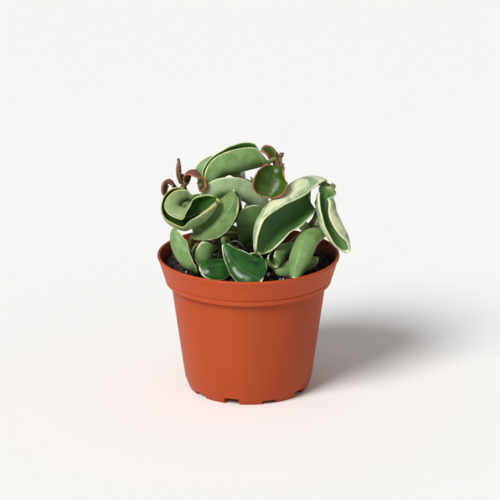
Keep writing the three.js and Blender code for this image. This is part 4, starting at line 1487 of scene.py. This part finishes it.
    Leaf(
        "leaf_back_right_low", "right", rib=[(33, 12, 93), (37, 18, 94), (39, 25, 89), (37, 30, 82.5)],
        face=[(-0.1, -0.1, 1), (0.2, 0.4, 0.9), (0.3, 0.8, 0.5)], half=[12], left=[50, 90, 80], base=0.6,
        kind=LeafKind.CREAM, seed=28.6,
    ),
]


@dataclass
class DryTuft:
    """Withered remains at a growing tip: ribbed twigs and crinkled bud knobs."""

    name: str
    twigs: Sequence[tuple[Sequence[Point], Sequence[float]]]
    knobs: Sequence[tuple[Point, float]]
    crinkle: float = 0.32

    FOLD_SIZE = 0.55
    LINE_SIZE = 0.3
    LINE_DEPTH = 0.15
    KNOB_SEEDS = 3.1

    def knob(self, spot: Point, radius: float, seed: float) -> bpy.types.Object:
        """A crinkled bud.

        Args:
            spot: its middle.
            radius: its radius.
            seed: shifts its wrinkles.

        Returns:
            The bud.
        """
        deselect_all()
        bpy.ops.mesh.primitive_ico_sphere_add(subdivisions=4, radius=1)
        piece = bpy.context.object
        middle = np.array(spot) + np.array([POT_X, 0, 0])
        for point in piece.data.vertices:
            out = np.array(point.co)
            fold = self.crinkle * wobble(out, self.FOLD_SIZE, seed)
            line = self.LINE_DEPTH * abs(wobble(out, self.LINE_SIZE, seed + 2))
            point.co = Vector((middle + out * radius * (1 + fold - line)) * MM)
        return piece

    def build(self) -> bpy.types.Object:
        """Builds the twigs and knobs.

        Returns:
            The tuft, as one piece.
        """
        pieces = [
            Stem(
                f"{self.name}_{i}", points, radii, lumps=0.3, lump_size=0.9, ring_gap=0.45, around=18,
                seed=i + 6.0,
            ).build()
            for i, (points, radii) in enumerate(self.twigs)
        ]
        for i, (spot, radius) in enumerate(self.knobs):
            pieces.append(self.knob(spot, radius, i * self.KNOB_SEEDS))
        return finish_piece(join(pieces, f"dry_{self.name}"), FINISHES["dry"], "dry", self.name)


TUFTS = [
    DryTuft(
        "flower_stalk_dry",
        twigs=[
            (
                ((-39.8, 4.2, 125.6), (-40.6, 3, 129), (-40.9, 2, 134), (-40.7, 1.5, 139.5)),
                (1.4, 1.75, 1.7, 0.8),
            ),
            (((-39.6, 4.2, 125.6), (-39, 5, 128), (-38.6, 5.5, 130)), (1.1, 1.3, 0.8)),
            (((-38.8, 4.6, 122), (-37, 3.4, 125), (-36.2, 2.8, 127.8)), (1.6, 1.5, 1)),
        ],
        knobs=[((-39.7, 4.3, 125.7), 1.6), ((-41, 1.5, 139.6), 0.9)],
    ),
    DryTuft(
        "bud_tuft",
        twigs=[
            (((18.4, 4.8, 140), (17.4, 4.2, 141.2), (16.4, 3.8, 142.2)), (1.2, 1.1, 0.9)),
            (((18.4, 4.8, 140), (19, 3.8, 141), (19.2, 3.4, 142)), (1.2, 1.1, 1)),
            (((18.4, 4.8, 140), (18.8, 0, 140.4), (18.6, -5, 138.6), (19.3, -8.5, 135)), (1.2, 1, 1, 0.9)),
        ],
        knobs=[
            ((18.4, 4.8, 140.1), 1.6), ((16.2, 3.8, 142.4), 1.4), ((19.3, 3.4, 142.1), 1.6),
            ((17.2, -4.6, 139.8), 1.5), ((19.6, -6, 138.4), 1.4), ((19.5, -8.8, 134.6), 1.2),
        ],
    ),
]


@dataclass
class ThreadBundle:
    """Thin dry strands of one sort: aerial rootlets, twigs or fibres."""

    name: str
    finish: str
    strands: Sequence[tuple[Sequence[Point], float, float]]

    def build(self) -> bpy.types.Object:
        """Builds the strands, each from its root's radius to its tip's.

        Returns:
            The bundle, as one piece.
        """
        pieces = [
            Stem(
                f"{self.name}_{i}", points, (root, tip), lumps=0.25, ring_gap=0.8, around=8,
                seed=i + 2.5,
            ).build()
            for i, (points, root, tip) in enumerate(self.strands)
        ]
        return finish_piece(join(pieces, self.name), FINISHES[self.finish], "dry")


THREADS = [
    ThreadBundle(
        "tan_twigs", "twig",
        strands=[
            (((8.5, 11.5, 119.5), (5.6, 8, 121), (2.4, 5, 123.8), (-0.6, 3.6, 126)), 0.9, 0.45),
            (((8.8, 11.5, 119), (6.6, 7.5, 119.4), (3.6, 4.5, 119.2)), 0.8, 0.4),
            (((10, 11.2, 122), (7.6, 6.5, 124), (5.4, 3.4, 124.6)), 0.7, 0.4),
            (((21, -4.8, 88), (25, -6, 92), (30.5, -3.5, 96), (36, 0.5, 99)), 0.8, 0.6),
        ],
    ),
    ThreadBundle(
        "aerial_rootlets", "rootlet",
        strands=[
            (((-11.2, -18.2, 94.5), (-8, -19.6, 96.5), (-4.4, -19, 94.6), (-2, -17, 90)), 0.3, 0.16),
            (((-10.6, -17.9, 93.2), (-7.4, -18.8, 92.6), (-4.2, -18.4, 89.6)), 0.28, 0.15),
            (((-8.6, -16.2, 89.5), (-5.6, -18.2, 88.6), (-3.4, -18.6, 85)), 0.28, 0.15),
            (((-33, 6.2, 111.5), (-34.4, 8.6, 109.2), (-34, 10, 105.8)), 0.3, 0.16),
            (((-17.5, 4.5, 84), (-19.8, 6.6, 82.4), (-20.6, 7.4, 79)), 0.3, 0.16),
            (((33, 4.2, 93), (34.2, 6.8, 90.8), (33.6, 8, 87.6)), 0.3, 0.16),
            (((44, 5.6, 113.6), (45.6, 8, 111.8), (45.2, 9.4, 109)), 0.28, 0.15),
            (((4, 13.2, 100), (2, 15.6, 98.2), (1.4, 16.4, 94.8)), 0.3, 0.16),
            (((12, 10.6, 125), (13.6, 12.8, 123.4), (13.4, 13.8, 120.4)), 0.28, 0.15),
        ],
    ),
    ThreadBundle(
        "loose_fibres", "fibre",
        strands=[
            (((33, 5, 76), (36.5, 7.5, 79.4), (41, 10, 80.6), (46, 12, 79), (48.6, 12.6, 76.4)), 0.28, 0.2),
            (((38, 2, 75.9), (41, 4.5, 78.6), (44.5, 8.5, 78.8), (46.6, 11.5, 76)), 0.24, 0.18),
            (((-38, 8, 76), (-35.5, 10, 77.8), (-31.6, 11.4, 76)), 0.24, 0.18),
        ],
    ),
]


def make_finishes() -> None:
    """Makes every material once."""
    plain = {
        "vine": BarkFinish("vine_bark", "#615538", "#80704a", "#3f3220"),
        "dry": BarkFinish("dry_brown", "#6b4a35", "#8f7358", "#3b241b", streak_mm=2.5, grain_mm=0.35),
        "twig": BarkFinish("twig_tan", "#9a8560", "#b7a47c", "#5e4a31", streak_mm=2.0, grain_mm=0.3),
        "rootlet": BarkFinish("rootlet_grey", "#85806c", "#a39e88", "#55503f", grain_mm=0.3),
        "pot": PotFinish(),
        "mix": MixFinish("mix_dark_peat", "#120b07", "#3a291c"),
        "chip": MixFinish("mix_bark_chip", "#2a1a10", "#5e4128", grain_mm=1.2, roughness=0.8),
        "perlite": MixFinish("mix_perlite", "#b9b4a8", "#efece4", grain_mm=0.8, roughness=0.9),
        "fibre": MixFinish("mix_coir_fibre", "#4b3320", "#7d5d3c", grain_mm=0.7, roughness=0.85),
    }
    FINISHES.update({kind: kind.value.material() for kind in LeafKind})
    FINISHES.update({name: finish.material() for name, finish in plain.items()})


def main() -> None:
    """Builds the scene piece by piece."""
    logging.basicConfig(level=logging.INFO, format="%(message)s")
    deselect_all()
    make_finishes()
    Studio().build()
    Pot().build()
    PottingMix().build()
    for name, vine in VINES.items():
        vine.build([leaf for leaf in LEAVES if leaf.vine == name])
    for leaf in LEAVES:
        leaf.build(VINES[leaf.vine])
    for tuft in TUFTS:
        tuft.build()
    for bundle in THREADS:
        bundle.build()


if __name__ == "__main__":
    main()
